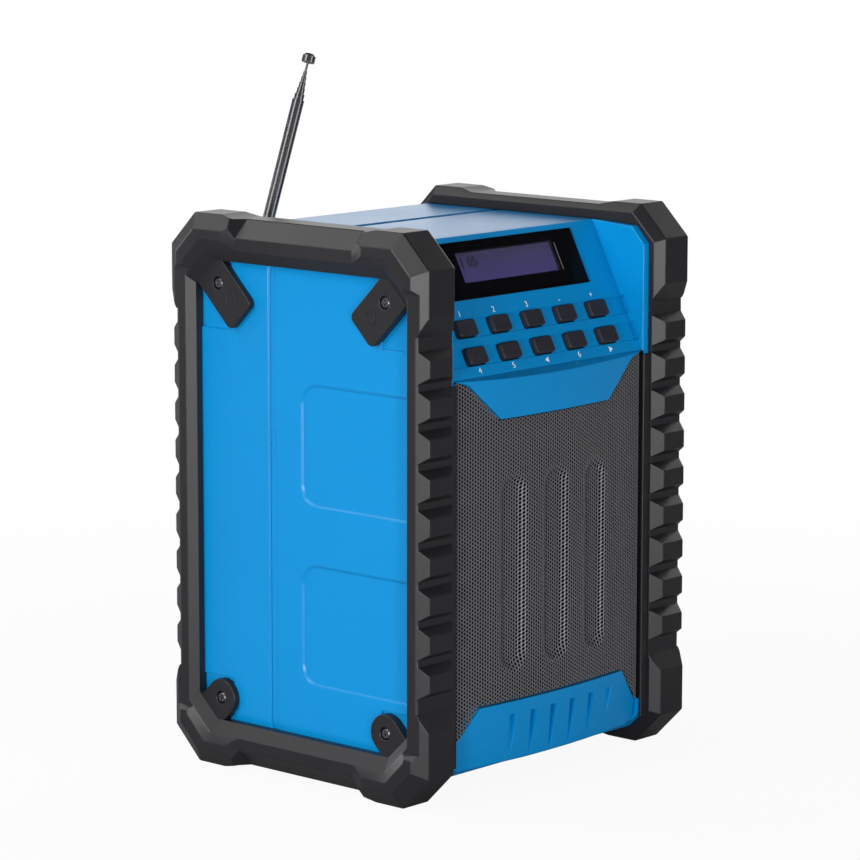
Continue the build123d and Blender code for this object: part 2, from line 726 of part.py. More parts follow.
# ---- bumper frame: octagonal block form, bars set back, ribs and side window ----
rib_pitch_line = half_depth - bar_front_inset
with BuildPart() as bumper_right:
    with BuildSketch(Plane.YZ.offset(inner_face)):
        cut_corners(half_depth, overall_height / 2, corner_cut)
    extrude(amount=bumper_width)
    outer_side = bumper_right.faces().sort_by(Axis.X)[-1]
    chamfer(outer_side.edges(), length=block_bevel_side, length2=block_bevel_front, reference=outer_side)
    chamfer(bumper_right.faces().sort_by(Axis.X)[0].edges(), length=inner_bevel)
    # side faces of the bars, between the corner blocks
    with BuildSketch(Plane.XY):
        Polygon(
            (bar_side, block_side_length),
            (half_width, block_side_length + block_ramp),
            (overall_width, block_side_length + block_ramp),
            (overall_width, -block_side_length - block_ramp),
            (half_width, -block_side_length - block_ramp),
            (bar_side, -block_side_length),
            align=None,
        )
    extrude(amount=overall_height, mode=Mode.SUBTRACT)
    side_low = block_side_drop + block_side_ramp
    with BuildSketch(Plane.XZ.offset(-half_depth)):
        Polygon(
            (bar_side, side_low),
            (half_width, block_side_drop),
            (overall_width, block_side_drop),
            (overall_width, overall_height - block_side_drop),
            (half_width, overall_height - block_side_drop),
            (bar_side, overall_height - side_low),
            align=None,
        )
    extrude(amount=overall_depth, mode=Mode.SUBTRACT)
    for end in (-1, 1):
        # top and bottom bars: lower face and wide bevel
        face_z = mid_z + end * (overall_height / 2 - bar_top_inset)
        edge_z = mid_z + end * overall_height / 2
        with BuildSketch(Plane.YZ.offset(inner_face)):
            Polygon(
                (-block_length - block_ramp, face_z),
                (-block_length - 2 * block_ramp, edge_z),
                (block_length + 2 * block_ramp, edge_z),
                (block_length + block_ramp, face_z),
                align=None,
            )
        extrude(amount=bumper_width, mode=Mode.SUBTRACT)
        bevel_plane = Plane(
            origin=(bar_side - bar_top_bevel / 2, 0, face_z - end * bar_top_bevel / 2),
            x_dir=(0, 1, 0),
            z_dir=(1, 0, end),
        )
        with BuildSketch(bevel_plane):
            Rectangle(2 * block_length + block_ramp, 2 * bar_top_bevel)
        extrude(amount=bar_top_bevel, taper=-45, mode=Mode.SUBTRACT)
        # front and rear bars
        low = block_front_drop + block_front_ramp
        with BuildSketch(Plane.YZ.offset(inner_face)):
            Polygon(
                (end * rib_pitch_line, low),
                (end * half_depth, block_front_drop),
                (end * half_depth, overall_height - block_front_drop),
                (end * rib_pitch_line, overall_height - low),
                align=None,
            )
        extrude(amount=bumper_width, mode=Mode.SUBTRACT)
    # ribs across the front and rear bars
    with BuildSketch(Plane.YZ.offset(inner_face)):
        for end in (-1, 1):
            for index in range(rib_count):
                rib_z = mid_z + (index - (rib_count - 1) / 2) * rib_pitch
                Polygon(
                    (end * (rib_pitch_line - rib_rise), rib_z - rib_face / 2 - rib_lower_ramp),
                    (end * rib_pitch_line, rib_z - rib_face / 2 - rib_lower_ramp),
                    (end * (rib_pitch_line + rib_rise), rib_z - rib_face / 2),
                    (end * (rib_pitch_line + rib_rise), rib_z + rib_face / 2),
                    (end * rib_pitch_line, rib_z + rib_face / 2 + rib_upper_ramp),
                    (end * (rib_pitch_line - rib_rise), rib_z + rib_face / 2 + rib_upper_ramp),
                    align=None,
                )
    extrude(amount=bar_side - inner_face)
    with BuildSketch(Plane.XY.offset(block_front_drop + block_front_ramp)):
        for end in (-1, 1):
            Polygon(
                (bar_side - rib_outer_width, end * (rib_pitch_line + rib_rise)),
                (bar_side - rib_outer_width, end * half_depth),
                (bar_side, end * half_depth),
                (bar_side, end * (rib_pitch_line + rib_rise - rib_outer_depth)),
                align=None,
            )
            Polygon(
                (inner_face + rib_inner_width, end * (rib_pitch_line + rib_rise)),
                (inner_face + rib_inner_width, end * half_depth),
                (inner_face, end * half_depth),
                (inner_face, end * (rib_pitch_line + rib_rise - rib_inner_depth)),
                align=None,
            )
    extrude(amount=overall_height - 2 * block_front_drop - 2 * block_front_ramp, mode=Mode.SUBTRACT)
    # window onto the side panel, widening in two steps
    with BuildSketch(Plane.YZ.offset(flange_face)):
        cut_corners(half_depth - window_rim_side, overall_height / 2 - window_rim_top, window_cut)
    with BuildSketch(Plane.YZ.offset(bar_side)):
        cut_corners(half_depth - ridge_rim_side, overall_height / 2 - ridge_rim_top, ridge_cut)
    with BuildSketch(Plane.YZ.offset(half_width)):
        cut_corners(half_depth - block_rim, overall_height / 2 - block_rim, block_rim_cut)
    loft(ruled=True, mode=Mode.SUBTRACT)
    with BuildSketch(Plane.YZ.offset(flange_face)):
        cut_corners(half_depth - window_rim_side, overall_height / 2 - window_rim_top, window_cut)
    extrude(amount=-bumper_width, mode=Mode.SUBTRACT)
    # tabs that carry the screws
    with BuildSketch(Plane.YZ.offset(body_half_width - pad_depth)):
        cut_corners(half_depth - ridge_rim_side, overall_height / 2 - ridge_rim_top, ridge_cut)
        with BuildSketch(mode=Mode.INTERSECT):
            for end in (-1, 1):
                with Locations(Location((end * tab_screw_y, tab_screw_z[0]), -end * 45)):
                    RectangleRounded(tab_width, tab_length, tab_corner_radius)
                with Locations((end * tab_screw_y, tab_screw_z[1])):
                    Circle(tab_foot_radius)
                foot_end = (end * (tab_screw_y + tab_reach / 2), tab_screw_z[1] - tab_reach / 2)
                with Locations(Location(foot_end, end * 45)):
                    Rectangle(2 * tab_foot_radius, tab_reach * sqrt(2))
    extrude(amount=flange_thickness + pad_depth)
    with BuildSketch(Plane.YZ.offset(flange_face)):
        for end in (-1, 1):
            for z in tab_screw_z:
                with Locations((end * tab_screw_y, z)):
                    Circle(screw_head_radius + head_sink)
    extrude(amount=-screw_head_height - head_sink, mode=Mode.SUBTRACT)
    with BuildSketch(Plane.YZ.offset(flange_face)):
        for end in (-1, 1):
            for z in tab_screw_z:
                with Locations((end * tab_screw_y, z)):
                    Circle(screw_radius + screw_clearance)
    extrude(amount=-bumper_width, mode=Mode.SUBTRACT)
    # dark lip beside the grille
    with BuildSketch(Plane.XZ.offset(body_half_depth)):
        with Locations((inner_face - lip_width / 2, (lip_low_z + lip_high_z) / 2)):
            Rectangle(lip_width, lip_high_z - lip_low_z)
    extrude(amount=lip_thickness)
    add(body_form.part, mode=Mode.SUBTRACT)

with BuildPart() as bumper_left:
    mirror(bumper_right.part, about=Plane.YZ)

# ---- blue apron under the panel, bowed with the grille and hollow behind ----
with BuildPart() as apron_hollow:
    with BuildSketch(Plane.XZ.offset(baffle_front)):
        Polygon(*apron_points, align=None)
        offset(amount=-apron_wall, kind=Kind.INTERSECTION, mode=Mode.REPLACE)
    extrude(amount=overall_depth)
    add(bow_form.part.moved(Location((0, apron_wall - apron_proud, 0))), mode=Mode.INTERSECT)

with BuildPart() as apron:
    with BuildSketch(Plane.XZ.offset(baffle_front)):
        Polygon(*apron_points, align=None)
    extrude(amount=overall_depth)
    add(bow_form.part.moved(Location((0, -apron_proud, 0))), mode=Mode.INTERSECT)
    with BuildSketch(Plane.YZ.offset(-half_width)):
        top_run = grille_front + apron_proud + panel_foot_y
        Polygon(
            (panel_foot_y, panel_foot_z),
            (panel_foot_y - 2 * top_run, panel_foot_z),
            (panel_foot_y - 2 * top_run, panel_foot_z - 2 * apron_top_fall),
            align=None,
        )
    extrude(amount=overall_width, mode=Mode.SUBTRACT)
    add(apron_hollow.part, mode=Mode.SUBTRACT)

# ---- blue chin under the grille, falling back towards the foot, with wedge grooves ----
chin_drop = chin_top_z - chin_bottom_z
with BuildPart() as chin:
    with BuildSketch(Plane.XY.offset(chin_top_z)):
        with BuildLine():
            edge_y = -chin_front + bow_drop(bay_half)
            ThreePointArc((-bay_half, edge_y), (0, -chin_front), (bay_half, edge_y))
            Polyline((bay_half, edge_y), (bay_half, 0), (-bay_half, 0), (-bay_half, edge_y))
        make_face()
    extrude(amount=chin_drop, dir=(0, chin_lean, -1))
    with BuildSketch(Plane.XZ.offset(chin_seat)):
        Polygon(*chin_points, align=None)
    extrude(amount=overall_depth, mode=Mode.INTERSECT)
    groove_face = chin_front - (chin_top_z - chin_groove_top) * chin_lean
    with BuildSketch(Plane.XZ.offset(groove_face - chin_groove_depth)):
        for index in range(chin_groove_count):
            groove_x = chin_groove_shift + (index - (chin_groove_count - 1) / 2) * chin_groove_pitch
            Polygon(
                (groove_x - chin_groove_width / 2, chin_groove_top),
                (groove_x + chin_groove_width / 2, chin_groove_top),
                (groove_x + chin_groove_foot_width / 2, chin_groove_foot),
                (groove_x - chin_groove_foot_width / 2, chin_groove_foot),
                align=None,
            )
    extrude(amount=overall_depth, mode=Mode.SUBTRACT)
    add(front_housing.part, mode=Mode.SUBTRACT)

# ---- bowed steel grille with three pressed channels ----
with BuildPart() as channel_form:
    with BuildSketch(Plane.XZ.offset(grille_front + grille_thickness)):
        for index in (-1, 0, 1):
            with Locations((index * channel_pitch, (channel_low_z + channel_high_z) / 2)):
                SlotOverall(channel_high_z - channel_low_z, channel_width, rotation=90)
    extrude(amount=-(grille_front + grille_thickness - baffle_front), taper=channel_draft)

with BuildPart() as channel_skin:
    with BuildSketch(Plane.XZ.offset(grille_front + grille_thickness)):
        for index in (-1, 0, 1):
            with Locations((index * channel_pitch, (channel_low_z + channel_high_z) / 2)):
                SlotOverall(
                    channel_high_z - channel_low_z + 2 * grille_thickness,
                    channel_width + 2 * grille_thickness,
                    rotation=90,
                )
    extrude(amount=-(grille_front + grille_thickness - baffle_front), taper=channel_draft)
    add(bow_form.part.moved(Location((0, channel_depth + grille_thickness, 0))), mode=Mode.SUBTRACT)

with BuildPart() as channel_hollow:
    add(channel_form.part)
    add(bow_form.part.moved(Location((0, channel_depth, 0))), mode=Mode.SUBTRACT)

with BuildPart() as grille:
    with BuildSketch(Plane.XZ.offset(baffle_front)):
        with Locations((0, (chin_side_z + panel_foot_z) / 2)):
            Rectangle(2 * grille_half, panel_foot_z - chin_side_z - 2 * grille_gap)
        for points in (apron_points, chin_points):
            with BuildSketch(mode=Mode.SUBTRACT):
                Polygon(*points, align=None)
                offset(amount=grille_gap, kind=Kind.INTERSECTION, mode=Mode.REPLACE)
    extrude(amount=overall_depth)
    add(bow_form.part, mode=Mode.INTERSECT)
    # hollow the block to a sheet with side flanges that reach back to the baffle
    with BuildSketch(Plane.XY):
        with BuildLine():
            sheet_half = grille_half - grille_thickness
            sheet_front = grille_thickness - grille_front
            edge_y = sheet_front + bow_drop(sheet_half)
            ThreePointArc((-sheet_half, edge_y), (0, sheet_front), (sheet_half, edge_y))
            Polyline((sheet_half, edge_y), (sheet_half, 0), (-sheet_half, 0), (-sheet_half, edge_y))
        make_face()
    extrude(amount=body_top, mode=Mode.SUBTRACT)
    add(channel_skin.part)
    add(channel_hollow.part, mode=Mode.SUBTRACT)
    add(bow_form.part, mode=Mode.INTERSECT)

# ---- window and display ----
window_centre = -window_top - window_height / 2
display_centre = -display_top - display_height / 2
with BuildPart() as display_window:
    with BuildSketch(panel_plane.offset(-window_thickness)):
        with Locations((0, window_centre)):
            RectangleRounded(
                window_width - 2 * window_gap, window_height - 2 * window_gap, window_radius - window_gap
            )
    extrude(amount=window_thickness)

with BuildPart() as display_frame:
    with BuildSketch(panel_plane.offset(-panel_thickness)):
        with Locations((0, window_centre)):
            Rectangle(window_width, window_height)
    extrude(amount=-frame_thickness)
    with BuildSketch(panel_plane.offset(-panel_thickness)):
        with Locations((0, window_centre)):
            Rectangle(
                window_width - 2 * window_ledge - 2 * window_gap,
                window_height - 2 * window_ledge - 2 * window_gap,
            )
    extrude(amount=panel_thickness - window_thickness - window_gap)
    with BuildSketch(panel_plane):
        with Locations((0, display_centre)):
            Rectangle(display_width, display_height)
    extrude(amount=-overall_depth / 2, mode=Mode.SUBTRACT)

display_back = panel_thickness + frame_thickness
with BuildPart() as display_panel:
    with BuildSketch(panel_plane.offset(-display_back)):
        with Locations((0, display_centre)):
            Rectangle(display_width - 2 * window_gap, display_height - 2 * window_gap)
    extrude(amount=display_back - window_thickness - display_setback)
    with BuildSketch(panel_plane.offset(-display_back)):
        with Locations((0, display_centre)):
            Rectangle(display_width + 2 * display_margin, display_height + 2 * display_margin)
    extrude(amount=-display_thickness)

# ---- ten keys, all of one form: cap, hidden flange and plunger ----
with BuildPart() as key_form:
    with BuildSketch(Plane.XY.offset(-panel_thickness - key_gap)):
        RectangleRounded(key_width, key_height, key_radius)
    extrude(amount=panel_thickness + key_gap + key_proud)
    chamfer(key_form.edges().group_by(Axis.Z)[-1], length=key_edge)
    with BuildSketch(Plane.XY.offset(-panel_thickness - key_gap)):
        Rectangle(key_width + 2 * key_flange, key_height + 2 * key_flange)
    extrude(amount=-key_flange_thickness)
    with BuildSketch(Plane.XY.offset(-panel_thickness - key_gap - key_flange_thickness)):
        Circle(plunger_radius)
    extrude(amount=-plunger_length)

key_names = [
    "power", "mode", "info", "volume_down", "volume_up",
    "preset", "scan", "previous", "select", "next",
]

# ---- key board with one switch under each key ----
with BuildPart() as key_board:
    with BuildSketch(panel_plane.offset(-board_depth)):
        with Locations((0, -key_first_row - (key_rows - 1) / 2 * key_row_pitch)):
            Rectangle(
                2 * (key_post_x + key_post_radius),
                (key_rows - 1) * key_row_pitch + key_height + key_board_margin,
            )
        with Locations(*key_post_places):
            Circle(screw_radius + screw_clearance, mode=Mode.SUBTRACT)
    extrude(amount=-board_thickness)

with BuildPart() as key_switches:
    with BuildSketch(panel_plane.offset(-board_depth)):
        with Locations(*key_places):
            Rectangle(switch_size, switch_size)
    extrude(amount=switch_height - switch_button)
    with BuildSketch(panel_plane.offset(switch_height - switch_button - board_depth)):
        with Locations(*key_places):
            Circle(plunger_radius)
    extrude(amount=switch_button)

with BuildPart() as key_board_screws:
    board_back = panel_plane.offset(-board_depth - board_thickness)
    for x, y in key_post_places:
        add(screw_form.moved(board_back.location * Location((x, y, 0), (180, 0, 0))))

# ---- speaker: basket, magnet, surround, cone, dust cap ----
with BuildPart() as speaker_basket:
    with BuildSketch(Plane.YZ):
        ring = [
            (0, speaker_ring_inner),
            (0, speaker_radius),
            (speaker_flange, speaker_radius),
            (speaker_flange, speaker_ring_inner + basket_wall),
            (basket_depth - basket_wall, basket_foot_radius),
            (basket_depth, basket_foot_radius),
            (basket_depth, coil_radius + basket_wall),
            (basket_depth - basket_wall, coil_radius + basket_wall),
            (basket_depth - basket_wall, basket_foot_radius - basket_wall),
            (speaker_flange, speaker_ring_inner),
        ]
        Polygon(*[(speaker_back + back, speaker_z + radius) for back, radius in ring], align=None)
    revolve(axis=speaker_axis)
    with BuildSketch(Plane.XZ.offset(-speaker_back - speaker_flange - basket_wall)):
        with Locations((0, speaker_z)):
            with PolarLocations((speaker_ring_inner + basket_foot_radius) / 2, basket_windows):
                Circle(basket_window_radius)
    extrude(amount=speaker_flange + 2 * basket_wall - basket_depth, mode=Mode.SUBTRACT)
    with BuildSketch(Plane.XZ.offset(-speaker_back)):
        with Locations((0, speaker_z)):
            with PolarLocations(speaker_screw_circle, 4, start_angle=45):
                Circle(screw_radius + screw_clearance)
    extrude(amount=-speaker_flange, mode=Mode.SUBTRACT)

magnet_front = speaker_back + basket_depth
with BuildPart() as speaker_magnet:
    with BuildSketch(Plane.XZ.offset(-magnet_front)):
        with Locations((0, speaker_z)):
            Circle(magnet_radius)
            Circle(coil_radius + basket_wall, mode=Mode.SUBTRACT)
    extrude(amount=-magnet_height)
    chamfer(speaker_magnet.edges().group_by(Axis.Y)[-1], length=magnet_edge)
    with BuildSketch(Plane.XZ.offset(-magnet_front - magnet_height)):
        with Locations((0, speaker_z)):
            Circle(magnet_radius - pole_step)
    extrude(amount=-pole_plate)
    with BuildSketch(Plane.XZ.offset(-magnet_front)):
        with Locations((0, speaker_z)):
            Circle(coil_radius - coil_gap)
    extrude(amount=-magnet_height - pole_plate)

with BuildPart() as speaker_surround:
    # half roll, drawn as a five-sided arch between its two feet
    roll_middle = speaker_z + speaker_ring_inner - surround_width / 2
    with BuildSketch(Plane.YZ):
        arch = []
        for half_span, rise in (
            (surround_width / 2, surround_rise),
            (surround_width / 2 - surround_thickness, surround_rise - surround_thickness),
        ):
            side = [
                (speaker_back - rise * sin(radians(angle)), half_span * cos(radians(angle)))
                for angle in (0, 40, 75)
            ]
            line = [(y, roll_middle - z) for y, z in side] + [(y, roll_middle + z) for y, z in reversed(side)]
            arch += line if not arch else reversed(line)
        Polygon(*arch, align=None)
        lap_middle = speaker_z + speaker_ring_inner + surround_lap / 2
        with Locations((speaker_back - surround_thickness / 2, lap_middle)):
            Rectangle(surround_thickness, surround_lap + surround_thickness)
    revolve(axis=speaker_axis)

with BuildPart() as speaker_cone:
    rim = speaker_ring_inner - surround_width
    with BuildSketch(Plane.YZ):
        Polygon(
            (speaker_back, speaker_z + rim + surround_thickness),
            (speaker_back, speaker_z + rim - cone_thickness),
            (speaker_back + cone_depth, speaker_z + coil_radius - cone_thickness),
            (magnet_front + coil_reach, speaker_z + coil_radius - cone_thickness),
            (magnet_front + coil_reach, speaker_z + coil_radius),
            (speaker_back + cone_depth, speaker_z + coil_radius),
            (speaker_back + cone_thickness, speaker_z + rim + surround_thickness),
            align=None,
        )
    revolve(axis=speaker_axis)

with BuildPart() as speaker_dust_cap:
    # shallow dome in three steps of slope
    cap_y = speaker_back + cone_depth
    cap_radius = coil_radius - cone_thickness
    with BuildSketch(Plane.YZ):
        dome = [
            (cap_y - cap_rise * sin(radians(angle)), speaker_z + cap_radius * cos(radians(angle)))
            for angle in (0, 35, 65, 90)
        ]
        Polygon(*dome, *[(y + cap_thickness, z) for y, z in reversed(dome)], align=None)
    revolve(axis=speaker_axis)

with BuildPart() as speaker_screws:
    flange_plane = Plane(
        origin=(0, speaker_back + speaker_flange, speaker_z), x_dir=(1, 0, 0), z_dir=(0, 1, 0)
    )
    for index in range(4):
        place = Location((0, 0, 0), (0, 0, 45 + 90 * index)) * Location((speaker_screw_circle, 0, 0))
        add(short_screw_form.moved(flange_plane.location * place))

# ---- main board, tuner can and parts on it ----
with BuildPart() as main_board:
    with BuildSketch(Plane.XZ.offset(-main_board_y)):
        with Locations((0, main_board_z)):
            Rectangle(main_board_width, main_board_height)
        with Locations(*board_post_places):
            Circle(screw_radius + screw_clearance, mode=Mode.SUBTRACT)
    extrude(amount=-board_thickness)

with BuildPart() as tuner_can:
    with BuildSketch(Plane.XZ.offset(-main_board_y)):
        with Locations((-shield_width / 2, main_board_z + shield_height / 2)):
            RectangleRounded(shield_width, shield_height, shield_corner)
    extrude(amount=shield_depth)
    chamfer(tuner_can.edges().group_by(Axis.Y)[0], length=shield_edge)

with BuildPart() as board_capacitors:
    with BuildSketch(Plane.XZ.offset(-main_board_y)):
        with Locations((0, main_board_z - shield_height / 2)):
            with GridLocations(capacitor_pitch, 0, capacitor_count, 1):
                Circle(capacitor_radius)
    extrude(amount=capacitor_height)
    chamfer(board_capacitors.edges().group_by(Axis.Y)[0], length=capacitor_edge)

with BuildPart() as main_board_screws:
    front_of_board = Plane(origin=(0, main_board_y, 0), x_dir=(1, 0, 0), z_dir=(0, -1, 0))
    for x, z in board_post_places:
        add(screw_form.moved(front_of_board.location * Location((x, z, 0))))

# ---- rechargeable cells in their tray ----
cell_pitch = 2 * cell_radius + cell_gap
tray_back = body_half_depth - wall - body_corner_cut
tray_floor = body_bottom + wall
tray_width = cell_columns * cell_pitch + cell_gap + 2 * tray_wall
tray_depth = cell_rows * cell_pitch + cell_gap + tray_wall
with BuildPart() as battery_tray:
    with BuildSketch(Plane.XY.offset(tray_floor)):
        with Locations((tray_x, tray_back - tray_depth / 2)):
            Rectangle(tray_width, tray_depth)
    extrude(amount=tray_height)
    with BuildSketch(Plane.XY.offset(tray_floor + tray_wall)):
        with Locations((tray_x, tray_back - tray_depth / 2 - tray_wall / 2)):
            Rectangle(tray_width - 2 * tray_wall, tray_depth - tray_wall)
    extrude(amount=tray_height, mode=Mode.SUBTRACT)

with BuildPart() as battery_cells:
    with BuildSketch(Plane.XY.offset(tray_floor + tray_wall)):
        with Locations((tray_x, tray_back - tray_wall - cell_gap / 2 - cell_rows * cell_pitch / 2)):
            with GridLocations(cell_pitch, cell_pitch, cell_columns, cell_rows):
                Circle(cell_radius)
    extrude(amount=cell_length)
    with BuildSketch(Plane.XY.offset(tray_floor + tray_wall + cell_length)):
        with Locations((tray_x, tray_back - tray_wall - cell_gap / 2 - cell_rows * cell_pitch / 2)):
            with GridLocations(cell_pitch, cell_pitch, cell_columns, cell_rows):
                Circle(cell_cap_radius)
    extrude(amount=cell_cap_height)

# ---- sockets behind the rubber flap ----
recess_floor = body_half_depth - flap_thickness - flap_gap
socket_back = body_half_depth - wall - flap_backing
with BuildPart() as power_socket:
    with BuildSketch(Plane.XZ.offset(-socket_back)):
        with Locations((flap_x - socket_spacing / 2, flap_z)):
            Rectangle(2 * (power_socket_radius + socket_margin), 2 * (power_socket_radius + socket_margin))
    extrude(amount=socket_depth)
    with BuildSketch(Plane.XZ.offset(-socket_back)):
        with Locations((flap_x - socket_spacing / 2, flap_z)):
            Circle(power_socket_radius)
    extrude(amount=socket_back - recess_floor)
    with BuildSketch(Plane.XZ.offset(-recess_floor)):
        with Locations((flap_x - socket_spacing / 2, flap_z)):
            Circle(power_socket_radius - socket_shell)
            Circle(power_pin_radius, mode=Mode.SUBTRACT)
    extrude(amount=socket_depth, mode=Mode.SUBTRACT)

with BuildPart() as audio_socket:
    with BuildSketch(Plane.XZ.offset(-socket_back)):
        with Locations((flap_x + socket_spacing / 2, flap_z)):
            Rectangle(2 * (audio_socket_radius + socket_margin), 2 * (audio_socket_radius + socket_margin))
    extrude(amount=socket_depth)
    with BuildSketch(Plane.XZ.offset(-socket_back)):
        with Locations((flap_x + socket_spacing / 2, flap_z)):
            Circle(audio_socket_radius)
    extrude(amount=socket_back - recess_floor)
    with BuildSketch(Plane.XZ.offset(-recess_floor)):
        with Locations((flap_x + socket_spacing / 2, flap_z)):
            Circle(audio_bore)
    extrude(amount=socket_depth, mode=Mode.SUBTRACT)

# ---- rubber flap, hung by pegs at its top edge ----
with BuildPart() as socket_flap:
    with BuildSketch(Plane.YZ.offset(flap_x - flap_width / 2)):
        with Locations((flap_hinge_y, flap_hinge_z)):
            Circle(flap_thickness / 2)
        with Locations((flap_hinge_y, (flap_hinge_z + flap_z - flap_height / 2) / 2)):
            Rectangle(flap_thickness, flap_hinge_z - flap_z + flap_height / 2)
    extrude(amount=flap_width)
    with BuildSketch(Plane.YZ.offset(flap_x - flap_width / 2 - flap_peg_length)):
        with Locations((flap_hinge_y, flap_hinge_z)):
            Circle(flap_peg_radius)
    extrude(amount=flap_width + 2 * flap_peg_length)
    with BuildSketch(Plane.XY.offset(flap_z - flap_height / 2)):
        with Locations((flap_x, body_half_depth)):
            Rectangle(flap_width / 3, flap_thickness)
    extrude(amount=flap_thickness, mode=Mode.SUBTRACT)

# ---- screws that hold bumpers and housings ----
tab_seat = flange_face - head_sink - screw_head_height
with BuildPart() as bumper_screws_right:
    for end in (-1, 1):
        for z in tab_screw_z:
            seat = Plane(origin=(tab_seat, end * tab_screw_y, z), x_dir=(0, 1, 0), z_dir=(1, 0, 0))
            add(screw_form.moved(seat.location))

with BuildPart() as bumper_screws_left:
    for end in (-1, 1):
        for z in tab_screw_z:
            seat = Plane(origin=(-tab_seat, end * tab_screw_y, z), x_dir=(0, 1, 0), z_dir=(-1, 0, 0))
            add(screw_form.moved(seat.location))

with BuildPart() as housing_screws:
    for side in (-1, 1):
        for z in housing_screw_z:
            seat_point = (side * housing_screw_x, housing_screw_seat, z)
            seat = Plane(origin=seat_point, x_dir=(1, 0, 0), z_dir=(0, 1, 0))
            add(long_screw_form.moved(seat.location))

# ---- antenna: swivel fork on a spindle, hinge pin, telescopic mast ----
fork_half = tongue_width / 2 + ear_gap
hinge_plane = Plane(origin=mast_plane.origin, x_dir=mast_plane.y_dir, z_dir=mast_plane.x_dir)
with BuildPart() as antenna_swivel:
    plate_back = body_half_depth + swivel_gap
    with BuildSketch(Plane.XZ.offset(-plate_back)):
        with Locations((swivel_x, swivel_z)):
            Circle(swivel_radius)
    extrude(amount=-swivel_thickness)
    with BuildSketch(Plane.XZ.offset(-plate_back)):
        with Locations((swivel_x, swivel_z)):
            Circle(spindle_radius)
    extrude(amount=wall + swivel_gap + spindle_nut_height)
    # fork, drawn across the mast
    with BuildSketch(mast_plane):
        Rectangle(2 * (fork_half + ear_thickness), 2 * mast_radius)
    extrude(amount=hinge_height)
    with BuildSketch(hinge_plane):
        with Locations((0, hinge_height)):
            Circle(mast_radius)
    extrude(amount=fork_half + ear_thickness, both=True)
    with BuildSketch(hinge_plane):
        with Locations((0, hinge_height + mast_radius)):
            Rectangle(4 * mast_radius, 4 * mast_radius + 2 * ear_gap)
    extrude(amount=fork_half, both=True, mode=Mode.SUBTRACT)
    with BuildSketch(hinge_plane):
        with Locations((0, hinge_height)):
            Circle(hinge_pin_radius)
    extrude(amount=mast_tube_start, both=True, mode=Mode.SUBTRACT)

with BuildPart() as antenna_nut:
    with BuildSketch(Plane.XZ.offset(wall + swivel_gap - body_half_depth)):
        with Locations((swivel_x, swivel_z)):
            RegularPolygon(spindle_nut_radius, 6)
            Circle(spindle_radius, mode=Mode.SUBTRACT)
    extrude(amount=spindle_nut_height)

with BuildPart() as antenna_pin:
    with BuildSketch(hinge_plane):
        with Locations((0, hinge_height)):
            Circle(hinge_pin_radius)
    extrude(amount=fork_half + ear_thickness, both=True)

mast_radii = [mast_radius - sum(mast_draws[:count]) for count in range(len(mast_draws) + 1)]
mast_bore_start = mast_tube_start + mast_floor
with BuildPart() as antenna_mast:
    with BuildSketch(mast_plane.offset(mast_tube_start)):
        Circle(mast_radii[0])
    extrude(amount=mast_tube_end - mast_tube_start)
    with BuildSketch(hinge_plane):
        with Locations((0, hinge_height)):
            Circle(mast_radius)
        with Locations((0, (hinge_height + mast_bore_start) / 2)):
            Rectangle(2 * mast_radius, mast_bore_start - hinge_height)
        with Locations((0, hinge_height)):
            Circle(hinge_pin_radius + hinge_clearance, mode=Mode.SUBTRACT)
    extrude(amount=tongue_width / 2, both=True)
    with BuildSketch(mast_plane.offset(mast_bore_start)):
        Circle(mast_radii[1] + mast_slide_gap)
    extrude(amount=mast_tube_end, mode=Mode.SUBTRACT)

mast_sections = []
for index in range(1, len(mast_radii)):
    section_start = mast_bore_start + index * mast_nest_gap
    section_end = mast_tube_end + index * mast_step_length
    with BuildPart() as section:
        with BuildSketch(mast_plane.offset(section_start)):
            Circle(mast_radii[index])
            if index + 1 < len(mast_radii):
                Circle(mast_radii[index + 1] + mast_slide_gap, mode=Mode.SUBTRACT)
        extrude(amount=section_end - section_start)
        if index + 1 == len(mast_radii):
            with BuildSketch(mast_plane.offset(section_end)):
                Circle(tip_neck_radius)
            extrude(amount=tip_neck_length)
            with BuildSketch(mast_plane.offset(section_end + tip_neck_length)):
                Circle(tip_radius)
            extrude(amount=tip_height)
            chamfer(section.edges().filter_by(GeomType.CIRCLE).sort_by(Axis.Z)[-1], length=tip_height / 4)
    mast_sections.append(section.part)

# ---- export, one file for each node ----
pieces = {
    "front_housing": front_housing.part,
    "control_panel": control_panel.part,
    "rear_housing": rear_housing.part,
    "bumper_left": bumper_left.part,
    "bumper_right": bumper_right.part,
    "bumper_screws_left": bumper_screws_left.part,
    "bumper_screws_right": bumper_screws_right.part,
    "housing_screws": housing_screws.part,
    "apron": apron.part,
    "chin": chin.part,
    "grille": grille.part,
    "display_window": display_window.part,
    "display_frame": display_frame.part,
    "display_panel": display_panel.part,
    "key_board": key_board.part,
    "key_switches": key_switches.part,
    "key_board_screws": key_board_screws.part,
    "speaker_basket": speaker_basket.part,
    "speaker_magnet": speaker_magnet.part,
    "speaker_surround": speaker_surround.part,
    "speaker_cone": speaker_cone.part,
    "speaker_dust_cap": speaker_dust_cap.part,
    "speaker_screws": speaker_screws.part,
    "main_board": main_board.part,
    "tuner_can": tuner_can.part,
    "board_capacitors": board_capacitors.part,
    "main_board_screws": main_board_screws.part,
    "battery_tray": battery_tray.part,
    "battery_cells": battery_cells.part,
    "power_socket": power_socket.part,
    "audio_socket": audio_socket.part,
    "socket_flap": socket_flap.part,
    "antenna_swivel": antenna_swivel.part,
    "antenna_nut": antenna_nut.part,
    "antenna_pin": antenna_pin.part,
    "antenna_mast": antenna_mast.part,
}
for index, part in enumerate(mast_sections, start=1):
    pieces[f"antenna_section_{index}"] = part
